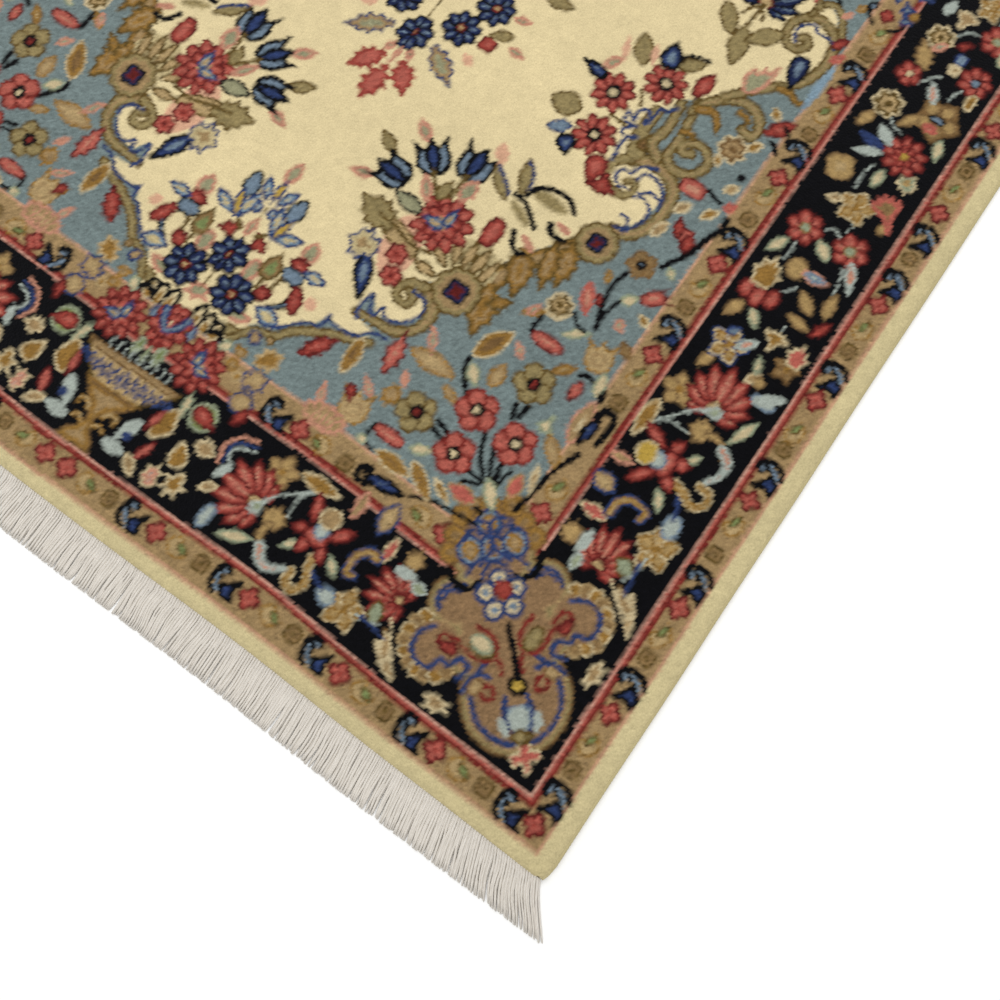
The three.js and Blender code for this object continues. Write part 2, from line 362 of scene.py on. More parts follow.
def heart(petals, inner, size, bands):
    # one or two rings of coral petals around a small round heart
    def draw(s, e, turn, high, wide, dyeName, swap):
        petalRing(s, e, turn, high / 2, petals, "coralDark", swap, 1.4, 0.06)
        if inner:
            petalRing(s, e, turn, high * 0.3, inner, "coralDark", swap, 1.4, 0.06)
        disc(s, e, high * size, bands, swap)
    return draw


def brownStar(s, e, turn, high, wide, dyeName, swap):
    for k in range(5):
        a = 2 * math.pi * (k + 0.3) / 5
        petal = outlines["bud"] * (0.44 * high, 0.54 * high)
        fill(placed(spun(petal, a), s, e, turn, swap), ((0, "brown"), (3, "clay"), (6, "warmTan")))
    fill(placed(outlines["oval"] * (0.36 * high, 0.2 * high) - (0, 0.1 * high), s, e, turn, swap),
         ((0, "black"), (2.6, "sky")))


def creamFlower(s, e, turn, high, wide, dyeName, swap):
    # small many-lobed flower outlined in cream, with the dye's last colour at its heart
    around = dyes[dyeName]
    disc(s, e, high / 2, ((0, "cream"), (2.4, around[0][1]), (6, around[-1][1])), swap, 7, 0.2, turn)
    disc(s, e, high * 0.12, ((0, around[0][1]),), swap)


flowers = {
    "poppy5": poppy(5), "rosette": rosette, "eyeRose": eyeRose, "redRose": redRose, "smileRose": smileRose,
    "guardRose": guardRose, "guardNut": guardNut, "guardLeaf": guardLeaf, "guardHook": guardHook,
    "creamFlower": creamFlower, "fanFlower": fanFlower, "lily5": lily5, "lowPalmette": lowPalmette,
    "sageHeart": heart(6, 0, 0.16, ((0, "clay"), (2, "sage"))),
    "blueHeart": heart(7, 0, 0.15, ((0, "black"), (1.6, "sky"))),
    "goldHeart": heart(9, 7, 0.1, ((0, "gold"), (1.6, "yellow"))),
    "brownStar": brownStar,
}
dyes["clayLeaf"] = ((0, "gold"), (2.4, "sand"))


# A leaf given by root and tip stays a little inside them
rootToTip = {"long": 0.95, "wide": 0.9}


def plant(table, swapToo=False):
    # a row gives either the middle, turn and height, or the root and the tip
    lines = [line.split() for line in table.strip().splitlines()]
    for line in lines[1:]:
        row = dict(zip(lines[0], line))
        s, e, wide = (float(row[name]) for name in ("s", "e", "wide"))
        if "tipS" in row:
            ds, de = float(row["tipS"]) - s, float(row["tipE"]) - e
            turn = math.degrees(math.atan2(-ds, de))
            high = math.hypot(ds, de) * rootToTip["long"]
            wide = wide * rootToTip["wide"]
            s, e = s + ds / 2, e + de / 2
        else:
            turn, high = float(row["turn"]), float(row["high"])
        for swap in ((False, True) if swapToo else (False,)):
            motif(row["shape"], s, e, turn, high, wide, row["dye"], swap)


def trail(lines, swapToo=False):
    # each line: dye bands by name, width at start and end, then its route
    for bandsName, startWidth, endWidth, route in lines:
        path = smoothPath(route, False)
        for swap in ((False, True) if swapToo else (False,)):
            run = path
            if swap:
                run = path[:, ::-1] + np.interp(path[:, :1], sideStretch["e"], sideStretch["by"]) * (0, 1)
            stroke(run, startWidth, endWidth, dyes.get(bandsName, ((0, bandsName),)))


# Bands from the edge inwards, in mm
bands = {
    "band": 17.0, "salmon": 20.0, "tan": 42.3, "red": 46.6, "coral": 48.8, "salmonLine": 51.0,
    "navy": 165.0,
    "salmonLine2": 166.6, "coral2": 169.0, "red2": 173.8, "tan2": 203.0, "salmon2": 206.0,
}
endFoot = {"e": (0, 13.4, 16.2, 30), "as": (0, 17, 20, 30)}
# Where the weaving drifts off straight: places along the edge, and how far the bands lie from true there.
# Along the sides the outer guard leans in steadily as far as 750 mm from the corner.
endPlaces = (0, 100, 190, 247, 300, 347, 380, 413, 480, 547, 600)
endDrift = {"outer": (endPlaces, (0, -0.6, 0, 3, 5.8, 8.6, 9.2, 8.2, 6.2, 4.2, 3.8)),
            "inner": (endPlaces, (0, 0, 0, 1, 3.5, 6, 7.5, 8.2, 6.8, 5.4, 4))}
sideDrift = {"outer": ((0, 750), (0, 4.5)),
             "inner": ((0, 200, 300, 400, 550, 750), (0, 0, 1.2, 3, 4.6, 6))}
driftDepth = {"starts": 12, "startsOver": 32, "inward": 60, "inwardOver": 105}


def driftAt(drift, place, depth):
    # the outer guard and the inner guard wander apart, the edge itself stays where it is
    outer, inner = (np.interp(place, *drift[guard]) for guard in ("outer", "inner"))
    share = np.clip((depth - driftDepth["inward"]) / driftDepth["inwardOver"], 0, 1)
    return np.clip((depth - driftDepth["starts"]) / driftDepth["startsOver"], 0,
                   1) * (outer + (inner - outer) * share)


def layBands():
    depthEnd = cellE[:, None] - driftAt(endDrift, cellS[None, :], cellE[:, None])
    depthEnd = np.interp(depthEnd, (*endFoot["e"], 1000), (*endFoot["as"], 1000))
    depthSide = cellS[None, :] - driftAt(sideDrift, cellE[:, None], cellS[None, :])
    depth = np.minimum(depthEnd, depthSide) + handEdge * 0.6
    colours = ("band", "dustyRose", "tan", "red", "coral", "paleRose", "navy", "paleRose", "coral", "red",
               "tan", "dustyRose")
    chart[:] = woolNames.index("greyBlue")
    for limit, colour in reversed(list(zip(bands.values(), colours))):
        chart[depth < limit] = woolNames.index(colour)


def layGuards():
    for s in (142.5, 253, 363, 474, 585):
        motif("guardRose", s, 32 + driftAt(endDrift, s, 32), 0, 23, 0, "red")
    for k, (name, first) in enumerate((("guardHook", 58), ("guardNut", 88), ("guardLeaf", 115))):
        for n in range(5):
            s = first + n * 110.8
            motif(name, s, 32 + driftAt(endDrift, s, 32), (0, 90, 90)[k], (27, 19, 25)[k], 0, "red")
    motif("guardRose", 34, 32.5, 0, 23, 0, "red")
    sideRow = {"guardHook": (58, 175, 286, 408, 525, 641, 700, 815, 930),
               "guardNut": (89, 206, 319.5, 440, 558, 675, 790, 903),
               "guardLeaf": (115, 230, 352, 460, 585, 762, 875, 985),
               "guardRose": (147.5, 260, 380, 498, 616, 734, 845, 958)}
    size = {"guardHook": 28, "guardNut": 19, "guardLeaf": 25, "guardRose": 23}
    lie = {"guardHook": -90}
    for name, places in sideRow.items():
        for e in places:
            motif(name, 32.5 + driftAt(sideDrift, e, 32), e, lie.get(name, 0), size[name], -1, "red")
    innerEnd = {"guardRose": (251.6, 425), "guardLeaf": (280, 400), "guardNut": (369,), "guardHook": (452,)}
    for name, places in innerEnd.items():
        for s in places:
            motif(name, s, 190.5, 0 if name == "guardHook" else -90, size[name], 0, "red")
    innerSide = {"guardRose": (258.6, 447, 562, 676, 790), "guardLeaf": (285, 420, 532, 652, 763, 875),
                 "guardNut": (388, 506, 620, 735, 848), "guardHook": (475, 587, 707, 817)}
    for name, places in innerSide.items():
        for e in places:
            motif(name, 188.5 + 0.3 * driftAt(sideDrift, e, 188), e, lie.get(name, 0), size[name], -1,
                  "red")


def arc(centre, radius, start, stop, steps=9, squash=1.0):
    # angles count from +e (up) towards the side edge (right in the photograph)
    a = np.radians(np.linspace(start, stop, steps))
    return np.column_stack([centre[0] - radius * np.sin(a), centre[1] + radius * squash * np.cos(a)])


def layCartouche():
    bodies = [lobed(46, 0, 0) + (110, 110), lobed(24, 0, 0) + (104, 198), lobed(24, 0, 0) + (198, 104),
              lobed(20, 0, 0) + (147, 205), lobed(20, 0, 0) + (205, 147), lobed(40, 0, 0) + (160, 160),
              lobed(20, 0, 0) + (120, 165), lobed(20, 0, 0) + (165, 120), lobed(34, 0, 0) + (205, 205)]
    for grow, colour in ((6, "brown"), (3.6, "oliveTan"), (0.5, "tan"), (-1.5, "umber")):
        for body in bodies:
            fill(body, ((-grow, colour),))
    for swap in (False, True):
        flip = (lambda p: p[:, ::-1]) if swap else (lambda p: p)
        # scallops round the side lobe
        for k, angle in enumerate(range(-38, 170, 21)):
            a = math.radians(angle)
            spot = np.array([(104 - 27 * math.sin(a), 198 + 27 * math.cos(a))])
            fill(flip(lobed(7.5, 0, 0) + spot), ((0, ("cream", "sand")[k % 2]),
                                                 (2, ("gold", "clay")[k % 2])))
        fill(flip(lobed(22.5, 0, 0) + (104, 198)), ((0, "umber"),))
        for path, width in ((arc((110, 110), 41, -12, 132, 14), 4.6),
                            (smoothPath(((110, 141), (106, 150), (96, 154), (86, 152)), False), 4.6),
                            (smoothPath(((92, 163), (106, 160), (108, 172), (97, 177), (98, 186),
                                         (86, 190), (84, 203), (91, 214), (106, 216),
                                         (119, 208)), False), 4.6),
                            (arc((147, 205), 17, -95, 55, 9), 4.6),
                            (arc((147, 207), 10, -90, 30, 7), 3.6)):
            stroke(flip(path), width, width, ((0, "royal"),))
        for path in (((140, 176), (141, 160), (134, 149), (122, 149), (116, 160), (117, 178), (110, 196),
                      (118, 196), (121, 182)),
                     ((127, 143), (124, 135), (118, 132)), ((98, 144), (92, 134), (98, 126), (104, 134),
                                                            (98, 144))):
            stroke(flip(smoothPath(path, False)), 4.2, 4.2, ((0, "red"),))
        motif("oval", 127, 161, 0, 26, 16, "olive", swap)
        motif("drop", 109, 188, 8, 22, 12, "red", swap)
        motif("half", 96, 146, 0, 12, 16, "sand", swap)
        motif("drop", 89, 104, 128, 26, 10, "royalPale", swap)
    motif("oval", 163, 130, -88, 24, 15, "sageCream")
    # crest above the shield
    for k, (s, e) in enumerate(((214, 238), (236, 232), (196, 242), (180, 236), (248, 214))):
        for swap in ((False,) if s == e else (False, True)):
            motif("oval", s, e, 0, 24, 22, "goldLobe", swap)
    for spot in ((206, 206), (222, 222), (192, 222), (222, 192)):
        motif("oval", *spot, -45, 30, 26, "crestBlue")
    trail((("royal", 3.4, 3.4, ((212, 171), (211, 188), (205, 200), (213, 212), (230, 210), (232, 196))),
           ("royal", 3.4, 3.4, ((186, 206), (205, 208), (222, 222), (214, 236), (196, 232))),
           ("royal", 3.2, 3.2, ((170, 195), (186, 200), (200, 196)))), True)
    trail((("black", 8, 5, ((166, 228), (160, 214), (164, 202), (174, 198))),), True)
    # small rose with ivory petals
    for k in range(5):
        a = math.radians(72 * k - 45)
        disc(174 - 15 * math.sin(a), 176 + 15 * math.cos(a), 10.5, ((0, "royal"), (4, "cream"), (7, "sky")))
    disc(176, 181, 10, ((0, "red"), (2.5, "rose")), False, 5, 0.2)
    stroke(smoothPath(((153, 158), (143, 147), (132, 138), (120, 126)), False), 5.5, 6.5, ((0, "black"),))
    disc(115, 119, 9.5, ((0, "black"), (4.6, "yellow")))
    motif("drop", 94, 93, 135, 34, 24, "paleBlue")
    for swap in (False, True):
        stroke(placed(smoothPath(((-10, -18), (-13, -4), (-10, 10), (-4, 17)), False), 98, 98, 135, swap),
               5, 4, ((0, "royal"),))
        motif("leaf", 82, 104, 150, 20, 9, "pale", swap)


dyes["goldLobe"] = ((0, "brown"), (2.4, "gold"), (7, "clay"))
dyes["crestBlue"] = ((0, "royal"), (3.4, "sky"), (5.6, "gold"), (9, "tan"))
dyes["royalPale"] = ((0, "royal"), (3.5, "pale"))
dyes["paleBlue"] = ((0, "sky"), (2, "pale"))

# Border flowers that both the end and the side carry next to the corner
cornerBorder = """
shape s e tipS tipE wide dye
three 62 62 86 86 32 creamRed
leaf 90 80 78 94 16 olive
fig 168 72 164 54 32 creamTan
leaf 246 78 208 56 13 creamTan
slim 244 92 234 74 9 sand
fanFlower 240 117 284 119 50 coralDark
leaf 270 139 246 142 14 pale
leaf 250 136 230 136 14 sage
leaf 262 108 256 82 17 oliveSage
leaf 242 90 224 62 13 creamTan
crown 258 145 258 169 24 tanSolid
leaf 283 134 283 165 13 palePinkRose
lily5 284 60 287 102 0 goldLily
oval 318 83 295 79 20 paleBell
slim 327 113 310 97 11 sageCream
slim 357 106 372 92 11 sageCream
crown 391 99 391 125 32 tanSolid
leaf 398 159 350 161 18 creamGold
lily5 413 131 413 167 0 tanLily
slim 429 67 393 83 13 sageCream
fanFlower 406 110 461 116 66 coralDark
fan 406 126 416 99 15 sagePale
oval 446 89 447 61 15 paleBell
leaf 453 104 471 91 12 creamTan
"""
cornerStems = (
    ("cream", 2.2, 1.8, ((220, 70), (232, 84), (245, 100))),
    ("pale", 2.4, 2.0, ((274, 84), (262, 84), (250, 90))),
    ("pale", 3, 2.4, ((376, 150), (392, 137), (406, 124))),
    ("pale", 2, 2, ((382, 118), (384, 136), (378, 150))),
    ("royal", 4, 3, ((268, 86), (256, 84), (240, 82))), ("royal", 5, 3, ((330, 91), (320, 86), (312, 83))),
    ("crescent", 12, 9, ((289, 136), (298, 136), (306, 128), (307, 118), (304, 108), (297, 110))),
    ("hookTan", 10, 9, ((338, 102), (336, 90), (330, 78), (336, 67), (346, 69), (348, 80))),
    ("tanSolid", 9, 6, ((391, 102), (393, 92), (388, 83), (380, 77))),
    ("palePink", 11, 6, ((386, 82), (379, 71), (366, 70), (354, 78))),
)


lilyPetals = """
shape s e tipS tipE wide dye
bud 358 126 371 158 15 coralDark
bud 356 122 376 114 15 coralDark
bud 351 118 357 95 15 coralDark
bud 342 118 328 98 15 coralDark
bud 340 122 317 144 15 coralDark
oval 362 118 334 118 20 coralDark
oval 347 118 347 136 17 paleBell
"""


def layLily():
    plant(lilyPetals, True)
    for swap in (False, True):
        e = 140
        path = placed(lobed(11, 0, 0), 347, e, 0, swap)
        fill(path, ((0, "cream"), (2.2, "yellow" if swap else "tan")))


dyes["palePinkRose"] = ((0, "cream"), (2, "coral"))

# Grey-blue ground next to the corner
cornerGround = """
shape s e tipS tipE wide dye
leaf 334 346 314 388 22 gold
slim 331 341 311 321 15 sageCream
leaf 389 318 333 318 26 tanGold
slim 384 349 366 323 11 pinkSage
leaf 301 328 302 359 21 tanGold
slim 307 384 290 368 11 pinkSage
leaf 262 375 241 396 14 goldPlain
bud 230 387 231 360 16 coralRim
leaf 211 377 217 408 15 sageCream
slim 207 393 206 372 9 black
leaf 207 325 209 378 23 palmSlim
oval 301 398 261 398 18 coralRim
tulip 226 398 236 434 36 goldTulip
slim 277 412 250 431 12 sageCream
slim 322 408 300 426 13 goldEdge
fan 232 343 234 320 21 sageCream
leaf 227 326 201 299 18 tanGold
leaf 340 306 315 297 13 tanGold
oak 362 268 387 270 30 goldEdge
slim 379 298 367 280 10 salmonPlain
jag 394 280 401 332 26 coralRim
leaf 432 299 428 259 17 gold
jag 477 248 449 287 26 rose
slim 409 271 383 252 10 pinkSage
tulip 392 221 402 259 38 goldTulip
drop 413 257 403 238 13 rose
slim 436 244 423 215 11 pinkSage
lowPalmette 414 199 414 229 58 tanPalm
oval 370 236 332 235 17 coralRim
oval 377 221 365 215 12 sageCream
leaf 329 236 306 248 13 sageCream
bud 278 231 242 230 19 coralGold
leaf 250 258 226 232 17 sageCream
leaf 317 229 283 207 14 gold
leaf 292 229 263 214 11 creamGold
leaf 353 217 311 215 16 gold
bud 224 279 222 251 17 coralGold
slim 217 297 209 264 9 creamTan
poppy5 267 333 267 380 0 olive
poppy5 344 246 344 292 0 olive
poppy5 247 274 247 322 0 coral
poppy5 290 234 290 280 0 coral
poppy5 297 280 297 328 0 coral
"""
dyes["tanGold"] = ((0, "gold"), (2.4, "tan"), (6, "sand"))
dyes["goldEdge"] = ((0, "gold"), (3.4, "tan"))
dyes["coralRim"] = ((0, "deepRed"), (2.4, "coral"), (7, "salmon"))
dyes["coralGold"] = ((0, "tan"), (2.2, "coral"))
dyes["goldTulip"] = ((0, "gold"), (2.4, "sand"), (7, "tan"), (9.5, "sand"))
dyes["tanPalm"] = ((0, "salmon"), (3, "tan"), (9, "sand"))
dyes.update({
    "palmSlim": ((0, "salmon"), (2.6, "tan"), (8, "cream")), "salmonPlain": ((0, "salmon"),),
    "oliveSage": ((0, "olive"), (2.4, "sage")), "tanSolid": ((0, "clay"), (2.4, "warmTan")),
    "goldLily": ((0, "cream"), (1.6, "gold"), (4.6, "warmTan")), "tanLily": ((0, "clay"), (2.6, "warmTan")),
    "paleBell": ((0, "sky"), (2.8, "pale")), "sagePale": ((0, "pale"), (3, "sage")),
    "crescent": ((0, "royal"), (2.2, "gold"), (4, "warmTan")),
    "hookTan": ((0, "cream"), (1.4, "gold"), (3.4, "warmTan")),
    "coralDark": ((0, "deepRed"), (2.3, "rose"), (4.4, "coral"), (8, "salmon")),
})
blackStems = (
    ("black", 6, 6, ((334, 343), (333, 334), (321, 317), (314, 310))),
    ("black", 6.5, 6, ((302, 423), (302, 400))), ("black", 5, 5, ((236, 389), (229, 393), (221, 391))),
    ("black", 5, 5, ((277, 290), (269, 272), (254, 256))),
    ("black", 5, 5, ((262, 286), (254, 268), (248, 258))),
    ("black", 5, 5, ((247, 276), (242, 256))), ("black", 4.5, 4.5, ((236, 274), (239, 254))),
    ("black", 4.5, 4.5, ((270, 252), (250, 251))), ("black", 4.5, 4.5, ((268, 240), (252, 247))),
    ("black", 6, 6, ((270, 331), (265, 318))), ("black", 6, 6, ((258, 335), (260, 322))),
    ("black", 5, 5, ((322, 274), (308, 270))), ("black", 5, 5, ((322, 266), (308, 262))),
    ("black", 4.5, 4, ((369, 237), (371, 224), (362, 216), (346, 216))),
    ("black", 4, 3.4, ((301, 200), (281, 208), (259, 211), (232, 214))),
    ("black", 6, 5.5, ((192, 324), (198, 308), (204, 292), (207, 269), (211, 246))),
    ("black", 5, 4, ((242, 228), (234, 226))),
)


def layCorner():
    layCartouche()
    plant(cornerBorder, True)
    trail(cornerStems, True)
    layLily()
    trail(blackStems)
    plant(cornerGround)

dyes.update({
    "scroll": ((0, "olive"), (3, "oliveTan"), (5.8, "tan")),
    "thinScroll": ((0, "olive"), (2.6, "oliveTan")), "brownScroll": ((0, "olive"), (3, "brown")),
    "goldScroll": ((0, "olive"), (2.2, "gold"), (5.4, "tan")),
    "tongue": ((0, "olive"), (3, "gold"), (6, "tan"), (9, "gold")),
    "salmonSage": ((0, "salmon"), (4.2, "sageTint")),
    "halfNavy": ((0, "black"), (4.8, "sky")),
    "yellowEdge": ((0, "royal"), (2.6, "yellow")),
    "roseBud": ((0, "deepRed"), (3, "rose"), (7, "coral")),
    "crossNavy": ((0, "navy"), (2.6, "deepNavy"), (5, "deepRed")),
})


def coralRosette(s, e, turn, high, wide, dyeName, swap):
    petalRing(s, e, turn, high / 2, 9, "coralDark", swap, 1.35)
    disc(s, e, high * 0.175, ((0, "black"), (4.4, "cream")), swap)


def tulipBloom(s, e, turn, high, wide, dyeName, swap):
    motif("tulip", s, e, turn, high, wide * 1.1, "halfNavy", swap)
    motif("bud", s, e, turn, high, wide * 0.46, "navyPlain", swap)


def crest(s, e, turn, high, wide, dyeName, swap):
    disc(s, e, high / 2, ((0, "olive"), (3, "oliveTan"), (6.5, "tan")), swap, 10, 0.08, turn)
    disc(s, e, high * 0.26, dyes["crossNavy"], swap, 4, 0.26, turn + 45)


flowers.update({"coralRosette": coralRosette, "tulipBloom": tulipBloom, "crest": crest})

fieldRim = ((600, 214), (548, 214), (534, 234), (529, 250), (512, 255), (498, 270), (481, 284),
            (474, 297), (458, 294), (440, 297), (426, 309), (450, 312), (456, 326), (450, 340),
            (440, 328), (424, 328), (410, 334), (402, 346), (402, 358), (412, 366), (428, 374),
            (400, 392), (374, 418), (362, 448), (345, 474), (326, 497), (300, 530), (284, 546),
            (277, 566), (276, 592), (290, 612), (322, 612), (334, 640), (320, 690), (296, 712),
            (264, 744), (238, 768), (228, 790), (222, 815), (226, 842), (236, 864), (250, 876),
            (264, 868), (276, 900), (282, 940), (290, 970), (292, 1004), (700, 1004), (700, 214))

fieldStrokes = (
    # rim beside the basket
    ("thinScroll", 11, 11, ((540, 226), (524, 244), (506, 250), (492, 266), (476, 276), (462, 284),
                            (444, 290), (424, 298))),
    ("royal", 3.6, 3.6, ((512, 256), (498, 270), (486, 281), (476, 285), (474, 299))),
    ("royal", 3.6, 3.6, ((474, 299), (470, 294), (456, 294), (440, 297), (428, 308), (412, 311))),
    # C-scroll under the peak
    ("scroll", 10, 17, ((456, 317), (436, 319), (412, 322), (396, 334), (391, 352), (398, 368),
                        (414, 375))),
    ("thinScroll", 12, 10, ((414, 375), (428, 372), (436, 362), (432, 352), (420, 350), (417, 360),
                            (425, 364))),
    ("royal", 3.8, 3.8, ((451, 311), (456, 324), (452, 340), (446, 327), (438, 324), (436, 335),
                         (428, 328), (414, 331), (404, 342), (401, 355), (407, 364), (420, 366))),
    # leafy band up to the second crest
    ("goldScroll", 20, 18, ((366, 398), (361, 422), (352, 446), (338, 468), (324, 488), (316, 500))),
    # third scroll
    ("scroll", 15, 17, ((298, 532), (280, 538), (268, 556), (265, 582), (270, 602), (286, 614),
                        (306, 616), (326, 608))),
    ("thinScroll", 14, 8, ((326, 608), (338, 596), (338, 580), (326, 569), (311, 569), (304, 579),
                           (308, 589), (316, 584))),
    ("royal", 3.8, 3.8, ((298, 552), (290, 551), (288, 540), (299, 535))),
    ("royal", 3.8, 3.8, ((288, 536), (280, 550), (277, 564), (282, 575), (292, 579), (299, 574))),
    ("royal", 3.6, 3.6, ((297, 580), (288, 588), (276, 586))),
    ("royal", 3.8, 3.8, ((272, 576), (276, 592), (288, 602), (304, 602), (308, 592))),
    ("royal", 4.2, 3.8, ((296, 614), (310, 608), (316, 596), (326, 594), (327, 584), (320, 577),
                         (311, 578))),
    # second scroll, a closed spiral
    ("scroll", 13, 12, ((304, 700), (300, 676), (297, 652), (298, 634), (288, 624), (272, 624),
                        (260, 634), (258, 648), (266, 658), (280, 660), (290, 652), (286, 644),
                        (278, 648))),
    ("goldScroll", 9, 6, ((300, 664), (290, 666), (286, 662))),
    # first scroll
    ("scroll", 14, 13, ((304, 690), (296, 706), (280, 722), (260, 728), (244, 722), (236, 708),
                        (240, 697), (250, 700))),
    ("goldScroll", 12, 7, ((300, 694), (286, 700), (276, 692), (272, 684))),
    ("goldScroll", 9, 6, ((262, 716), (252, 714), (250, 706))),
    # band on to the fourth scroll
    ("scroll", 12, 13, ((286, 722), (268, 742), (250, 760), (234, 774), (224, 790), (219, 812),
                        (222, 836))),
    ("goldScroll", 10, 7, ((244, 762), (232, 764), (220, 758), (213, 762))),
    ("scroll", 13, 11, ((222, 838), (236, 852), (254, 856), (270, 846), (275, 828), (268, 814),
                        (254, 812), (247, 822), (253, 829), (259, 824))),
    ("royal", 3.6, 3.6, ((222, 832), (230, 841), (246, 841), (252, 848), (262, 842), (266, 830),
                         (260, 819))),
    ("thinScroll", 9, 10, ((262, 856), (260, 872), (248, 880), (236, 874), (226, 858), (220, 846))),
    ("scroll", 11, 11, ((260, 868), (274, 892), (280, 930), (289, 965), (292, 1010))),
    # side bouquet's calyx
    ("thinScroll", 16, 22, ((334, 668), (334, 640), (326, 618))),
    ("brownScroll", 12, 15, ((318, 640), (324, 628))),
    ("scroll", 12, 14, ((318, 690), (314, 660), (318, 636), (304, 624))),
    ("royal", 3.8, 3.8, ((318, 684), (324, 674), (332, 672), (333, 654), (338, 650), (337, 660),
                         (344, 664), (350, 656), (348, 646), (358, 652), (354, 640), (342, 642),
                         (352, 632), (346, 626), (334, 632), (344, 622), (342, 596))),
)

peakRows = """
shape s e turn high wide dye
jag 314 474 169 56 30 tongue
jag 327 464 164 60 26 tongue
jag 347 442 161 58 36 tongue
jag 355 390 164 64 40 tongue
jag 343 405 54 32 18 tongue
oval 392 424 0 44 58 sandy
slim 372 424 12 44 12 oliveBand
slim 385 428 4 42 13 oliveBand
slim 398 430 -6 40 13 oliveBand
slim 411 426 -18 38 12 oliveBand
slim 424 414 -50 36 13 oliveBand
slim 428 392 -84 34 13 oliveBand
oval 462 398 80 40 70 salmonPaleRose
crest 386 390 0 54 0 sand
crest 301 512 0 48 0 sand
oval 470 405 -70 60 24 oliveBand
eyeRose 442 441 -45 68 0 rose
leaf 484 440 -82 38 20 blackSage
slim 519 514 -50 30 15 salmonSage
slim 541 482 -60 34 16 olive
slim 543 440 -104 30 14 salmonSage
tulipBloom 452 513 0 44 40 navy
tulipBloom 494 495 -44 44 36 navy
tulipBloom 519 458 -84 44 36 navy
bud 437 538 -32 26 16 salmonPale
bud 441 484 5 30 20 salmonSage
slim 479 463 -38 34 13 salmonSage
drop 461 473 8 28 16 olive
slim 420 511 -48 44 16 olive
slim 402 531 -22 44 18 olive
oval 366 522 -88 46 17 sandSage
oval 384 494 -66 36 12 sandSage
oval 337 505 -78 20 8 coralSoft
oval 358 472 -60 22 8 coralSoft
oval 394 462 0 36 23 roseBud
redRose 459 388 0 26 0 red
redRose 450 366 0 25 0 red
slim 474 352 152 58 21 navyBud
jag 504 414 -72 54 40 olive
oak 494 378 -95 40 42 tanBlue
bud 404 690 30 28 14 salmonSage
coralRosette 344 700 0 50 0 coral
coralRosette 384 661 10 50 0 coral
coralRosette 372 609 20 50 0 coral
leaf 333 734 52 34 19 olive
drop 357 733 -14 36 24 navyBud
drop 417 674 -78 34 17 navyBud
drop 390 583 150 26 22 navyBud
bud 310 721 8 36 20 roseBud
fan 334 569 170 28 32 roseBud
drop 350 576 172 36 24 roseBud
leaf 386 721 -28 42 22 olive
leaf 417 623 -95 36 30 olive
slim 402 712 -25 34 9 salmonPale
slim 373 722 -22 26 9 salmonPale
leaf 408 597 -120 28 16 skyEdge
leaf 333 804 142 44 22 olive
leaf 307 781 166 52 25 olive
leaf 289 805 -134 46 23 olive
fanFlower 311 860 0 56 58 navyDeep
drop 239 787 171 46 23 navyDeep
wing 268 762 10 52 26 salmonSage
"""
peakStems = (
    ("olive", 5, 5, ((452, 496), (452, 468))), ("olive", 5, 5, ((484, 482), (466, 462))),
    ("royal", 4, 3.4, ((432, 525), (418, 517), (406, 504))),
    ("royal", 4, 3.4, ((409, 547), (397, 538), (390, 520))),
    ("black", 6, 5.5, ((390, 515), (384, 527), (372, 534), (352, 535), (338, 525))),
    ("black", 6, 5.5, ((400, 508), (388, 507), (376, 500), (362, 489))),
    ("black", 7, 6, ((351, 502), (345, 494), (328, 494))),
    ("black", 7, 6, ((377, 474), (371, 463), (362, 458), (354, 460))),
    ("olive", 4.5, 4, ((500, 414), (476, 410), (452, 404), (430, 408))),
    ("olive", 4, 4, ((360, 680), (352, 664))), ("olive", 4, 4, ((372, 638), (352, 636))),
    ("olive", 5, 5, ((311, 838), (312, 822), (313, 804))),
    ("olive", 4, 4, ((311, 834), (320, 828), (324, 818))),
    ("olive", 4, 4, ((311, 832), (305, 826), (303, 820))),
    ("black", 5, 4, ((347, 733), (340, 743), (320, 748))),
)
dyes.update({
    "sandy": ((0, "ivoryTan"),), "tanBlue": ((0, "royal"), (2.6, "ivoryTan"), (8, "tan")),
    "salmonPaleRose": ((0, "salmonPale"),), "oliveBand": ((0, "olive"), (3, "sand")),
    "salmonPale": ((0, "salmonPale"),), "sandSage": ((0, "ivoryTan"), (3, "oliveTan")),
    "coralSoft": ((0, "salmon"),),
    "navyRosette": ((0, "black"), (2.6, "inkBlue"), (6, "sky")),
    "navyDeep": ((0, "black"), (3, "deepNavy"), (8, "sky")),
    "blackSage": ((0, "black"), (3, "sageTint")),
})

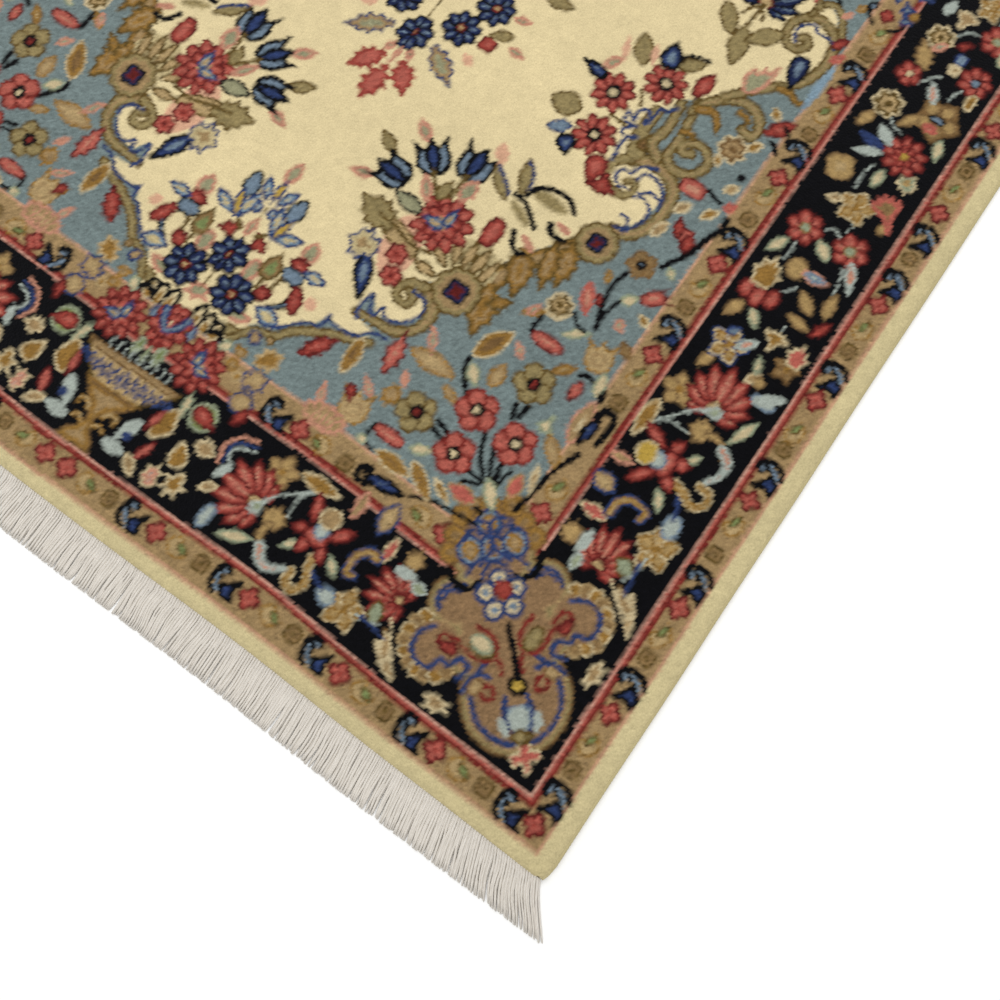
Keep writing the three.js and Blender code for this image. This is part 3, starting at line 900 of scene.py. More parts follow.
bouquetRows = """
shape s e turn high wide dye
bud 600 398 0 34 19 salmonSage
bud 586 372 26 30 12 ivoryEdge
bud 614 372 -26 30 12 ivoryEdge
bud 600 374 0 34 13 yellowEdge
oval 588 350 0 14 14 ivoryEdge
bud 600 328 0 32 16 salmonSage
leaf 570 367 5 34 21 blackSky
bud 580 347 -14 36 15 ivoryEdge
bud 570 343 16 34 12 yellowEdge
bud 557 337 62 32 15 ivoryEdge
fan 581 314 35 24 26 roseBud
oval 568 291 0 28 18 salmonSage
drop 553 308 0 34 22 oliveBud
cup 544 279 15 20 17 roseBud
bud 530 338 0 32 20 salmonSage
crown 531 324 0 22 28 roseBud
half 530 309 180 20 28 blackSky
leaf 510 320 88 28 15 ivoryEdge
moon 523 284 15 34 20 blackSky
oval 512 290 -25 32 16 roseBud
leaf 497 297 -60 18 12 salmonPale
leaf 525 262 -82 32 19 ivoryEdge
leaf 548 246 75 30 15 salmonSage
fig 600 244 180 28 38 salmonSage
leaf 549 229 62 28 14 olive
rosette 568 260 0 48 0 navyRosette
rosette 600 292 22 48 0 navyRosette
"""
bouquetStems = (
    ("olive", 6, 5, ((600, 352), (600, 336))), ("olive", 6, 5, ((600, 268), (600, 250))),
    ("olive", 5, 4, ((553, 292), (553, 278))), ("olive", 4, 4, ((538, 302), (540, 288))),
    ("olive", 5, 4, ((588, 322), (580, 328))),
)


def layBasket():
    for s in (581, 568, 556):
        stroke(smoothPath(((s - 6, 214), (s - 5, 228), (s, 236 - (581 - s) * 0.2), (s + 5, 228),
                           (s + 6, 214)), False), 5, 5, ((0, "black"),))
        motif("drop", s, 219, 0, 16, 7, "gold")
    stroke(smoothPath(((560, 218), (552, 222), (546, 217)), False), 6, 5, ((0, "black"),))
    motif("oval", 575, 205, 0, 18, 10, "skyEdge")
    motif("eyeRose", 547, 184, 45, 58, 0, "rose")
    motif("smileRose", 600, 199, 0, 54, 0, "rose")
    for s, e in ((585, 167), (600, 161)):
        motif("crown", s, e, 180, 24, 15, "sagePlain")
    for s in (596, 588, 580, 571, 562):
        stroke(np.array(((s, 163.0), (s - 2, 157.0), (s + 1, 151.0))), 1.7, 1.7, ((0, "pale"),))
    bowl = ((539, 151), (542, 145), (556, 128), (570, 117), (600, 113), (630, 117), (660, 151))
    fill(np.array(bowl, float), ((0, "olive"), (3, "sand")))
    fill(np.array(((539, 151.5), (546, 143.5), (600, 142), (660, 143), (661, 151.5)), float),
         ((0, "brown"), (2.5, "tan")))
    for k in range(6):
        s = 597 - 10.2 * k
        top = 139.5
        low = 121 + 0.14 * k**2.6
        stroke(np.array(((s, top), (s - 3, (top + low) / 2), (s, low + 1), (s + 3, (top + low) / 2),
                         (s, top))), 2.2, 2.2, ((0, "royal"),))
        stroke(np.array(((s - 5, top - 3), (s - 5, low + 4))), 2, 2, ((0, "royal"),))
    fill(np.array(((567, 118), (578, 104), (588, 97), (594, 84), (591, 74), (582, 66), (577, 55),
                   (623, 55), (609, 74), (606, 84), (612, 97),
                   (633, 118)), float), ((0, "brown"), (2.2, "gold"), (6, "tan")))
    fill(np.array(((565, 119), (574, 111), (626, 111), (635, 119)), float), ((0, "gold"), (2, "brown")))
    for route in (((590, 92), (584, 98), (577, 97), (577, 91)), ((592, 78), (586, 83), (580, 79))):
        stroke(smoothPath(route, False), 5, 4, ((0, "gold"), (1.4, "sand")))


dyes["sagePlain"] = ((0, "sage"), (3.4, "leafGreen"))
endBorder = """
shape s e turn high wide dye
drop 505 106 -22 28 21 creamGold
star 490 80 10 30 28 creamGold
fig 514 76 10 28 20 pinkPale
oval 509 147 0 30 30 sagePlain
drop 506 146 108 32 19 roseBud
oak 531 147 -10 34 13 sageCream
leaf 537 121 12 38 27 creamGold
slim 546 120 10 34 10 coralRim
slim 535 88 200 30 12 coralRim
leaf 538 70 128 26 12 creamTan
leaf 561 96 205 32 15 pale
oval 558 91 0 9 9 royal
leaf 563 75 90 28 14 pale
jag 487 124 95 24 22 creamTan
slim 460 118 20 24 10 pale
"""
dyes["pinkPale"] = ((0, "cream"), (2, "salmon"), (6, "pale"))


upperSpandrel = """
shape s e tipS tipE wide dye
oval 293 420 293 452 30 creamTan
creamFlower 293 421 293 453 0 tan
slim 316 410 309 428 11 pinkSage
slim 284 476 266 440 17 coralPlain
slim 270 470 256 455 11 rose
slim 240 458 226 448 12 pinkSage
leaf 206 428 222 442 14 brownCream
leaf 266 482 276 496 12 goldEdge
leaf 209 466 224 475 12 creamGold
drop 246 474 232 490 15 sageCream
tulip 232 486 206 508 20 coralRim
poppy5 251 501 251 535 0 clayFlower
slim 216 522 228 532 11 sageCream
fan 226 552 240 578 26 coralRim
slim 238 560 248 586 14 rose
drop 228 572 222 548 16 roseBud
leaf 262 548 254 572 13 creamTan
leaf 258 584 246 602 14 creamTan
leaf 232 592 218 612 13 creamGold
half 240 616 272 616 24 coralRim
leaf 218 614 207 626 13 coralPlain
leaf 228 630 216 646 13 creamTan
oval 224 650 218 658 9 black
creamFlower 246 658 246 694 0 brownCream
leaf 234 682 222 700 13 creamGold
leaf 256 664 248 650 11 creamGold
bud 230 708 206 738 20 roseBud
leaf 224 728 237 742 13 creamGold
slim 212 748 210 826 11 skyPale
leaf 226 832 213 854 14 roseBud
leaf 218 818 207 834 12 coralPlain
leaf 226 886 218 900 12 goldEdge
slim 218 892 212 912 11 blackSky
creamFlower 240 904 240 934 0 tan
poppy5 262 926 262 958 0 rose
leaf 232 940 222 962 14 creamGold
leaf 246 962 262 982 14 coralPlain
leaf 224 968 236 990 13 sageCream
slim 274 895 266 868 11 coralRim
slim 236 870 226 884 10 salmonSage
"""
dyes.update({
    "brownCream": ((0, "brown"), (3, "clay"), (6, "tan")), "clayFlower": ((0, "brown"), (3, "clay")),
    "skyPale": ((0, "paleBlueTint"),),
})
upperStems = (
    ("black", 5, 4.5, ((258, 503), (262, 488), (261, 472), (256, 452), (250, 437))),
    ("black", 4.5, 4, ((248, 473), (252, 455), (252, 437))),
    ("black", 4.5, 4, ((277, 438), (268, 430), (258, 428))),
    ("black", 7, 6, ((208, 608), (207, 595), (212, 582), (216, 565), (220, 552), (233, 528))),
    ("black", 4.5, 4, ((240, 624), (230, 620), (222, 619))),
    ("black", 6, 5, ((218, 705), (212, 702), (208, 696))),
    ("black", 5, 4, ((214, 727), (208, 722), (206, 714))),
    ("black", 5, 4, ((246, 900), (250, 890), (244, 884))),
    ("black", 5, 4, ((258, 944), (250, 952), (244, 966))),
)

sideBorder = """
shape s e tipS tipE wide dye
slim 96 486 103 506 11 sageCream
leaf 85 461 57 483 16 pale
bud 86 474 92 490 13 tanSolid
leaf 141 484 150 461 14 tanSolid
lily5 135 476 135 520 0 blueStar
leaf 128 498 111 518 13 palePink
leaf 144 506 132 520 12 skyEdge
fan 100 513 100 538 30 creamGold
lily5 75 493 75 523 0 brownLily
crown 72 512 72 540 28 palePinkRose
bud 75 549 61 573 14 roseBud
leaf 84 567 107 587 17 tanSolid
leaf 73 570 75 603 15 tanSolid
leaf 77 553 107 558 13 tanSolid
leaf 146 546 157 521 15 tanSolid
slim 139 545 121 525 13 sageCream
oval 152 547 153 570 18 coralDark
oval 126 549 124 572 17 coralDark
oval 139 543 139 568 19 coralDark
crown 144 564 144 605 36 creamGold
oval 122 590 122 616 24 tanSolid
leaf 117 602 86 605 17 skyPink
sageHeart 139 624 139 666 0 rose
leaf 121 643 101 624 16 sageCream
leaf 146 627 159 602 14 sageCream
sageHeart 88 627 88 669 0 rose
slim 82 641 64 606 14 palePink
lily5 108 672 108 712 0 goldLily
slim 122 694 142 686 12 creamTan
leaf 78 680 68 696 14 tanSolid
fan 65 683 92 724 34 coralTan
lobedTan 145 705 145 740 0 tan
leaf 107 746 108 719 13 sageCream
crown 82 755 76 729 26 sageTan
goldHeart 97 743 97 794 0 rose
leaf 114 770 137 788 15 pale
leaf 116 760 147 747 13 pale
leaf 118 764 151 768 14 royalLeaf
creamFlower 142 793 142 830 0 tan
leaf 147 797 158 773 15 tanSolid
brownStar 90 796 90 850 0 gold
bud 100 812 82 810 14 coralPlain
leaf 103 835 117 861 13 palePink
leaf 106 820 122 794 14 tanSolid
leaf 76 807 68 779 14 sageCream
blossom 142 838 142 870 0 rose
jag 129 864 151 900 26 tanSolid
lobedPale 105 875 105 893 0 pale
blueHeart 79 863 79 903 0 rose
oval 72 849 72 871 14 creamGold
oval 104 890 106 906 16 skyEdge
creamFlower 136 893 136 927 0 tan
leaf 138 890 124 908 12 pinkSage
slim 118 908 102 922 12 roseBud
sageHeart 84 918 84 958 0 rose
leaf 66 912 74 930 12 sageCream
fan 126 928 124 956 28 creamTan
leaf 148 936 144 958 13 pale
lily5 108 952 108 986 0 goldLily
leaf 134 966 146 984 13 tanSolid
leaf 76 962 66 982 13 sageCream
bud 100 1000 100 976 14 coralPlain
goldHeart 136 978 136 1022 0 rose
brownStar 78 978 78 1022 0 gold
"""
dyes.update({"sageTan": ((0, "cream"), (2, "sage"), (5, "warmTan")),
             "coralTan": ((0, "coral"), (5, "clay")),
             "blueStar": ((0, "royal"), (1.8, "cream"), (3.4, "gold"), (6, "warmTan")),
             "royalLeaf": ((0, "royal"),),
             "brownLily": ((0, "brown"), (3, "clay")), "skyPink": ((0, "salmon"), (2, "sky"), (6, "pale"))})
sideStems = (
    ("pale", 2.4, 2, ((99, 545), (100, 538))), ("pale", 2.4, 2, ((118, 744), (122, 728), (121, 712))),
    ("pale", 2.4, 2, ((112, 586), (118, 576), (126, 570))),
    ("pale", 2.4, 2, ((101, 650), (112, 660), (120, 655))),
    ("pale", 2.4, 2, ((103, 664), (100, 672), (104, 680))),
    ("pale", 2.2, 2, ((84, 628), (80, 612), (78, 594))),
    ("pale", 2.2, 2, ((140, 604), (138, 614), (139, 626))),
    ("pale", 2.4, 2, ((131, 800), (124, 792), (114, 790))),
    ("pale", 2.4, 2, ((92, 850), (90, 860), (84, 868))),
    ("pale", 2.4, 2, ((128, 850), (120, 862), (112, 870))),
    ("pale", 2.4, 2, ((128, 912), (116, 930), (100, 936))),
    ("pale", 2.2, 2, ((90, 958), (92, 968), (98, 974))),
)


def blossom(s, e, turn, high, wide, dyeName, swap):
    petalRing(s, e, turn, high / 2, 5, "coralDark", swap, 1.3, 0.06)
    disc(s, e, high * 0.1, ((0, "cream"),), swap)


def lobedTan(s, e, turn, high, wide, dyeName, swap):
    disc(s, e, high / 2, ((0, "clay"), (2.4, "warmTan"), (9, "sand")), swap, 4, 0.2, turn + 20)


def lobedPale(s, e, turn, high, wide, dyeName, swap):
    disc(s, e, high / 2, ((0, "cream"), (5, "tan")), swap, 5, 0.2, turn)


flowers.update({"blossom": blossom, "lobedTan": lobedTan, "lobedPale": lobedPale})

guardExtras = """
shape s e tipS tipE wide dye
bud 303 197 352 192 17 navyBud
bud 200 330 194 368 17 navyBud
bud 303 190 302 152 24 tanEdge
bud 171 322 142 312 24 tanEdge
leaf 333 183 331 149 15 palmSlim
leaf 170 344 142 347 13 palmSlim
leaf 505 180 487 180 14 goldEdge
oak 506 194 478 214 36 tanEdge
oak 506 216 482 240 30 sandGold
oval 500 172 478 186 26 tanEdge
leaf 477 178 484 156 14 roseBud
drop 516 214 530 224 16 goldEdge
oval 514 232 526 244 15 tanEdge
leaf 509 250 503 238 12 tan
leaf 532 222 546 208 15 sageCream
leaf 526 210 514 198 14 goldEdge
leaf 510 204 509 190 12 sandGold
bud 196 889 196 911 20 roseBud
fan 188 928 178 912 20 crestBlue
fan 184 914 172 900 20 crestBlue
oval 176 910 168 920 12 goldPlain
fan 196 918 196 950 28 crestBlue
fan 180 934 168 952 22 crestBlue
fan 212 934 224 952 22 crestBlue
oval 196 946 196 966 16 goldEdge
creamFlower 196 968 196 1032 0 gold
drop 214 966 226 986 15 oliveBud
drop 178 966 168 986 15 oliveBud
"""
guardStems = (
    ("salmon", 4.5, 3, ((470, 122), (475, 138), (466, 153), (450, 159))),
    ("royal", 4.5, 3, ((466, 126), (470, 139), (461, 149), (447, 154))),
    ("pale", 3, 2.4, ((462, 128), (465, 138), (457, 145), (446, 149))),
    ("black", 8, 7, ((346, 199), (354, 196), (352, 186), (342, 187))),
    ("black", 8, 7, ((198, 364), (194, 374), (184, 372), (182, 356), (184, 342))),
    ("black", 5, 4, ((186, 884), (178, 892), (174, 900))),
    ("black", 5, 4, ((206, 884), (214, 892), (218, 900))),
)

medallion = """
shape s e tipS tipE wide dye
jag 600 556 600 500 40 coralSerrate
jag 589 567 561 529 34 coralSerrate
leaf 600 585 600 552 14 salmonSage
bud 588 584 584 566 12 salmonSage
jag 574 600 526 566 32 oliveBlue
bud 540 610 523 600 14 salmonPale
bud 534 624 516 640 24 roseBud
bud 530 642 506 656 18 olive
slim 506 642 482 638 14 salmonSage
slim 522 672 500 680 14 salmonSage
rosette 600 575 600 625 0 navyRosette
rosette 560 608 560 656 0 navyRosette
rosette 543 648 543 696 0 navyRosette
"""
dyes["coralSerrate"] = ((0, "rose"), (4.5, "coral"))
dyes["oliveBlue"] = ((0, "royal"), (2.4, "tan"), (6, "sageTint"))


def layMedallion():
    # the garland round the middle of the rug
    kinds = ("coralRosette", "rosette", "creamFlower", "eyeRose", "rosette", "coralRosette",
             "creamFlower", "eyeRose")
    for k, kind in enumerate(kinds):
        a = math.radians(48 + 6.0 * k)
        s, e = 600 - 128 * math.sin(a) + 26 * math.cos(a), 1000 - 400 * math.cos(a)
        for side, dyeName in ((-1, "olive"), (1, "salmonSage")):
            motif("leaf", s + side * 30 - 2, e - 16, -80 * side, 34, 17, dyeName)
        motif(kind, s, e, 20 * k, (48, 46, 40, 56)[k % 4], 0, "navyRosette" if kind == "rosette" else "tan")
    for k in range(7):
        a = 2 * math.pi * k / 7
        motif("bud", 600, 690 + 44 * k, 0, 32, 18, ("roseBud", "olive")[k % 2])
    trail((("olive", 6, 6, ((600, 620), (600, 1004))),
           ("scroll", 14, 12, ((600, 760), (566, 776), (548, 812), (556, 846),
            (580, 852), (588, 832), (574, 822))),
           ("scroll", 14, 12, ((600, 880), (562, 892), (534, 924), (540, 962), (568, 970), (580, 950),
                               (566, 938)))))
    motif("eyeRose", 600, 860, 0, 60, 0, "rose")
    motif("smileRose", 600, 740, 0, 50, 0, "rose")
    petalRing(600, 1000, 0, 62, 16, "ivoryEdge", False, 1.3)
    petalRing(600, 1000, 0, 44, 12, "coralDark", False, 1.3)
    disc(600, 1000, 20, ((0, "black"), (3, "royal"), (8, "sky"), (14, "cream")), False, 8, 0.14)
    for s, e in ((424, 900), (380, 948), (352, 890)):
        motif("tulipBloom", s, e, -30, 42, 38, "navy")


def layAll():
    layBands()
    fill(smoothPath(fieldRim, True, 4), ((0, "ivory"),))
    layGuards()
    trail(fieldStrokes)
    layCorner()
    plant(upperSpandrel)
    trail(upperStems)
    plant(peakRows)
    trail(peakStems)
    layMedallion()
    plant(medallion)
    plant(bouquetRows)
    trail(bouquetStems)
    plant(endBorder)
    trail(sideStems)
    plant(sideBorder)
    trail(guardStems)
    plant(guardExtras)
    layBasket()


layAll()
print("chart drawn")

# Shape of the rug, the same rules as its solids follow

rug = {"halfWide": 594.2, "pileWide": 598.0, "halfLong": 1000.0, "high": 9.0, "corner": 8.0,
       "edgeWave": 3.2, "hug": 8}
edgeRoll = {"inset": (0, 0.9, 2.4, 5.0, 8.4), "height": (3.4, 5.4, 6.9, 8.3, 9.0)}
edgeWaves = {
    "left": ((0.6, 3, 0.25), (0.4, 7, 0.1)),
    "right": ((0.85, 1, 0), (0.15, 8, 0.3)),
    "near": ((0.85, 2, -0.39), (0.15, 5, 0.2)),
    "far": ((0.5, 2, 0.3), (0.5, 5, -0.15)),
}


def drawIn(side, place):
    along01 = (place + 1) / 2
    total = 0
    for share, waves, skew in edgeWaves[side]:
        skewed = along01 + skew * np.sin(2 * math.pi * along01) / (2 * math.pi)
        total = total + share * (1 - np.cos(2 * math.pi * waves * skewed)) / 2
    return rug["edgeWave"] * total


def ruglike(x, y):
    # rounds the four corners, then lets the edges wander in as woven edges do
    wide, long, corner = rug["halfWide"], rug["halfLong"], rug["corner"]
    p = np.maximum(0, np.abs(x) - wide + corner)
    q = np.maximum(0, np.abs(y) - long + corner)
    shrink = np.where((p > 0) & (q > 0), np.maximum(p, q) / np.maximum(np.hypot(p, q), 1e-9), 1)
    x = np.where(p > 0, np.sign(x) * (wide - corner + p * shrink), x)
    y = np.where(q > 0, np.sign(y) * (long - corner + q * shrink), y)
    side = np.where(x > 0, drawIn("right", y / long), drawIn("left", y / long))
    end = np.where(y > 0, drawIn("far", x / wide), drawIn("near", x / wide))
    return (x - np.sign(x) * side * (np.abs(x) / wide) ** rug["hug"],
            y - np.sign(y) * end * (np.abs(y) / long) ** rug["hug"])


def pileHeight(x, y):
    inset = np.minimum(rug["pileWide"] - np.abs(x), rug["halfLong"] - np.abs(y))
    return np.interp(inset, edgeRoll["inset"], edgeRoll["height"])


def knotLines(half, pitch):
    # knot borders from one edge to the other, closer together where the edge rolls over
    roll = edgeRoll["inset"]
    inner = half - roll[-1]
    count = round(2 * inner / pitch)
    return np.concatenate([-half + np.array(roll[:-1]), np.linspace(-inner, inner, count + 1),
                           half - np.array(roll[-2::-1])])


# Handling meshes

def onlyThis(obj=None):
    bpy.ops.object.select_all(action="DESELECT")
    if obj:
        obj.select_set(True)
        bpy.context.view_layer.objects.active = obj


def verticesOf(mesh):
    found = np.empty(len(mesh.vertices) * 3)
    mesh.vertices.foreach_get("co", found)
    return found.reshape(-1, 3)


def moveVertices(mesh, places):
    mesh.vertices.foreach_set("co", np.asarray(places, float).ravel())
    mesh.update()


def cornersOf(mesh):
    found = np.empty(len(mesh.loops), np.int32)
    mesh.loops.foreach_get("vertex_index", found)
    return found


def facesOf(mesh):
    starts = np.empty(len(mesh.polygons), np.int32)
    sizes = np.empty(len(mesh.polygons), np.int32)
    mesh.polygons.foreach_get("loop_start", starts)
    mesh.polygons.foreach_get("loop_total", sizes)
    return starts, sizes


def closedGrid(name, columns, rows):
    # a unit sheet of faces, its rim drawn down and closed below by one face
    onlyThis()
    bpy.ops.mesh.primitive_grid_add(x_subdivisions=columns, y_subdivisions=rows, size=1)
    obj = bpy.context.object
    obj.name = obj.data.name = name
    bpy.ops.object.mode_set(mode="EDIT")
    bpy.ops.mesh.select_mode(type="EDGE")
    bpy.ops.mesh.select_all(action="DESELECT")
    bpy.ops.mesh.select_non_manifold()
    bpy.ops.mesh.mark_sharp()
    bpy.ops.mesh.extrude_region_move(TRANSFORM_OT_translate={"value": (0, 0, -1)})
    bpy.ops.mesh.edge_face_add()
    bpy.ops.mesh.select_all(action="SELECT")
    bpy.ops.mesh.normals_make_consistent(inside=False)
    bpy.ops.object.mode_set(mode="OBJECT")
    return obj


def turnOutward(obj):
    onlyThis(obj)
    bpy.ops.object.mode_set(mode="EDIT")
    bpy.ops.mesh.select_all(action="SELECT")
    bpy.ops.mesh.normals_make_consistent(inside=False)
    bpy.ops.object.mode_set(mode="OBJECT")


def cutAcross(obj, cuts):
    # extra rings along a prism whose long edges run from end to end
    mesh = obj.data
    z = verticesOf(mesh)[:, 2]
    bpy.ops.object.mode_set(mode="EDIT")
    bpy.ops.mesh.select_mode(type="EDGE")
    bpy.ops.mesh.select_all(action="DESELECT")
    bpy.ops.object.mode_set(mode="OBJECT")
    for edge in mesh.edges:
        edge.select = bool(abs(z[edge.vertices[0]] - z[edge.vertices[1]]) > 0.5)
    bpy.ops.object.mode_set(mode="EDIT")
    bpy.ops.mesh.subdivide(number_cuts=cuts)
    bpy.ops.object.mode_set(mode="OBJECT")


def repeated(obj, count, step, joined):
    array = obj.modifiers.new("repeat", "ARRAY")
    array.count = count
    array.use_relative_offset = False
    array.use_constant_offset = True
    array.constant_offset_displace = step
    array.use_merge_vertices = joined
    array.merge_threshold = 0.01
    bpy.ops.object.modifier_apply(modifier=array.name)


def mapGrid(mesh, acrossShare, alongShare, top):
    # faces of the sheet fill the map, the rim and the closing face lie in a strip below them
    uvName = "OFBake"
    while mesh.uv_layers:
        mesh.uv_layers.remove(mesh.uv_layers[0])
    layer = mesh.uv_layers.new(name=uvName)
    corner = cornersOf(mesh)
    starts, sizes = facesOf(mesh)
    faceOf = np.repeat(np.arange(len(starts)), sizes)
    allTop = np.minimum.reduceat(top[corner], starts).astype(bool)[faceOf]
    anyTop = np.maximum.reduceat(top[corner], starts).astype(bool)[faceOf]
    u, v = acrossShare[corner], alongShare[corner]
    rim = anyTop & ~allTop
    round4 = np.where(v < 1e-4, u, np.where(u > 1 - 1e-4, 1 + v, np.where(v > 1 - 1e-4, 3 - u, 4 - v))) / 4
    first = round4[starts][faceOf]
    round4 = np.where(round4 - first > 0.5, round4 - 1, np.where(first - round4 > 0.5, round4 + 1, round4))
    places = np.where(allTop, (0.02 + 0.96 * u, 0.1 + 0.88 * v),
                      np.where(rim, (0.02 + 0.95 * round4 + 0.005, 0.01 + 0.02 * top[corner]),
                               (0.02 + 0.96 * u, 0.045 + 0.03 * v)))
    layer.uv.foreach_set("vector", places.T.astype(np.float32).ravel())


# Pile: twelve beds of knots that meet edge to edge, each face one knot

pile = {"pitch": 2.6, "columnsOfBeds": 3, "rowsOfBeds": 4, "bedFoot": 1.25, "tuftRise": 0.22,
        "tuftDrift": 0.28, "yarnSpread": (0.17, 0.11, 0.028), "chartInset": 2.0, "seed": 23}


def linear(colour):
    # sRGB from 0 to 1 to linear
    colour = np.asarray(colour, float)
    return np.where(colour <= 0.04045, colour / 12.92, ((colour + 0.055) / 1.055) ** 2.4)


def hexColour(text):
    return linear([int(text[k:k + 2], 16) / 255 for k in (0, 2, 4)])


woolColours = np.array([hexColour(wool[name]) for name in woolNames])


# How far the quarters differ: size and wavelength in mm, and how much of the quarter's own phase
quarterWander = {"s": ((1.5, 71, 1), (0.8, 23, 2)), "e": ((1.8, 83, 1), (0.7, 27, 3))}
sampleSpread = {"pile": 0.6, "back": 1.6}


def chartColours(x, y, spread):
    # a quarter is charted and mirrored both ways, each quarter knotted a little differently
    s, e = 600 - np.abs(x) - pile["chartInset"], rug["halfLong"] - np.abs(y) - pile["chartInset"]
    quarter = (x < 0) * 1.7 + (y > 0) * 2.9
    calm = np.where(quarter > 0, 1.0, 0.0) * np.clip(s / 60, 0, 1) * np.clip(e / 60, 0, 1)
    s = s + calm * sum(size * np.sin(e / wave + turns * quarter)
                       for size, wave, turns in quarterWander["s"])
    e = e + calm * sum(size * np.sin(s / wave + turns * quarter)
                       for size, wave, turns in quarterWander["e"])
    found = 0
    for ds, de in ((-1, -1), (-1, 1), (1, -1), (1, 1)):
        i = np.clip((s + ds * spread) / chartRoom["cell"], 0, across - 1).astype(int)
        j = np.clip((e + de * spread) / chartRoom["cell"], 0, along - 1).astype(int)
        found = found + woolColours[chart[j, i]] / 4
    return found


def setColours(mesh, name, colours):
    layer = mesh.attributes.new(name, "FLOAT_COLOR", "POINT")
    layer.data.foreach_set(
        "color", np.column_stack([colours, np.ones(len(colours))]).astype(np.float32).ravel())


def buildPile():
    lineX = knotLines(rug["pileWide"], pile["pitch"])
    lineY = knotLines(rug["halfLong"], pile["pitch"])
    dice = np.random.default_rng(pile["seed"])
    shape = (len(lineY), len(lineX))
    gridX, gridY = np.meshgrid(lineX, lineY)
    calm = np.clip((pileHeight(gridX, gridY) - 8.9) * 10, 0, 1)
    flatX, flatY = ruglike(gridX, gridY)
    flatX = flatX + calm * pile["tuftDrift"] * dice.uniform(-1, 1, shape)
    flatY = flatY + calm * pile["tuftDrift"] * dice.uniform(-1, 1, shape)
    high = pileHeight(gridX, gridY) + calm * pile["tuftRise"] * dice.uniform(-1, 0.6, shape)
    colours = chartColours(gridX, gridY, sampleSpread["pile"])
    # dark and middle tones vary more from knot to knot than the ivory does
    yarn = np.interp(colours.mean(2), (0.01, 0.2, 0.5), pile["yarnSpread"])
    colours = colours * np.maximum(0.5, 1 + yarn * dice.normal(0, 1, shape))[..., None]
    beds = []
    cutX = np.linspace(0, len(lineX) - 1, pile["columnsOfBeds"] + 1).round().astype(int)
    cutY = np.linspace(0, len(lineY) - 1, pile["rowsOfBeds"] + 1).round().astype(int)
    for row in range(pile["rowsOfBeds"]):
        for column in range(pile["columnsOfBeds"]):
            x0, x1, y0, y1 = cutX[column], cutX[column + 1], cutY[row], cutY[row + 1]
            bed = closedGrid(f"pileBed_{row + 1}_{column + 1}", int(x1 - x0), int(y1 - y0))
            mesh = bed.data
            unit = verticesOf(mesh)
            i = np.rint((unit[:, 0] + 0.5) * (x1 - x0)).astype(int)
            j = np.rint((unit[:, 1] + 0.5) * (y1 - y0)).astype(int)
            top = unit[:, 2] > -0.5
            z = np.where(top, high[y0 + j, x0 + i], pile["bedFoot"])
            moveVertices(mesh, np.column_stack([flatX[y0 + j, x0 + i], flatY[y0 + j, x0 + i], z]) * mm)
            mapGrid(mesh, i / (x1 - x0), j / (y1 - y0), top)
            setColours(mesh, "knotColour", colours[y0 + j, x0 + i])
            bpy.ops.object.shade_smooth()
            mesh.materials.append(pileWool)
            beds.append(bed)
    return beds


# Woven back: the knots' collars, seen from below

back = {"pitch": 9.0, "thick": 1.2, "drawIn": 0.6}


def buildBack():
    columns, rows = (round(2 * rug[side] / back["pitch"]) for side in ("halfWide", "halfLong"))
    obj = closedGrid("wovenBack", columns, rows)
    mesh = obj.data
    unit = verticesOf(mesh)
    sheet = unit[:, 2] > -0.5
    shareX, shareY = unit[:, 0] + 0.5, unit[:, 1] + 0.5
    inset = np.where(sheet, back["drawIn"], 0)
    x, y = ruglike(unit[:, 0] * 2 * (rug["halfWide"] - inset), unit[:, 1] * 2 * (rug["halfLong"] - inset))
    z = np.where(sheet, 0, back["thick"])
    moveVertices(mesh, np.column_stack([x, y, z]) * mm)
    mapGrid(mesh, shareX, shareY, sheet)
    turnOutward(obj)
    setColours(mesh, "knotColour", chartColours(x, y, sampleSpread["back"]))
    mesh.materials.append(wovenWool)
    return obj


# Selvages: wool wound over the outermost warps

selvage = {"thick": 5.5, "wrapPitch": 3.4, "waist": 0.93, "sides": 8, "lean": 1.1, "end": 997.0,
           "taper": 14.0}


def buildSelvage(name, sign):
    wraps = round(2 * selvage["end"] / selvage["wrapPitch"])
    onlyThis()
    bpy.ops.mesh.primitive_cylinder_add(vertices=selvage["sides"], radius=0.5, depth=1,
                                        end_fill_type="NOTHING")
    obj = bpy.context.object
    obj.name = obj.data.name = name
    mesh = obj.data
    cutAcross(obj, 1)
    repeated(obj, wraps, (0, 0, 1), True)
    bpy.ops.object.mode_set(mode="EDIT")
    bpy.ops.mesh.select_all(action="DESELECT")
    bpy.ops.mesh.select_non_manifold()
    bpy.ops.mesh.fill_holes(sides=0)
    bpy.ops.mesh.select_all(action="SELECT")
    bpy.ops.mesh.normals_make_consistent(inside=False)
    bpy.ops.object.mode_set(mode="OBJECT")
    unit = verticesOf(mesh)
    angle = np.arctan2(unit[:, 1], unit[:, 0])
    wrap = unit[:, 2] + 0.5
    swell = 1 - (1 - selvage["waist"]) * (np.cos(2 * math.pi * wrap) + 1) / 2
    along = (wrap / wraps * 2 - 1) * selvage["end"]
    # thins out as it follows the rounded corner
    thin = np.interp(selvage["end"] - np.abs(along), (0, selvage["taper"]), (0.35, 1))
    radius = selvage["thick"] / 2 * swell * thin
    middleX, middleY = ruglike(sign * (600 - selvage["thick"] / 2) + 0 * along, along)
    places = np.column_stack([middleX + radius * np.cos(angle),
                              middleY + selvage["lean"] * thin * np.sin(angle),
                              radius * (1 + np.sin(angle))])
    moveVertices(mesh, places * mm)
    bpy.ops.object.shade_smooth()
    mesh.materials.append(overcastWool)
    return obj


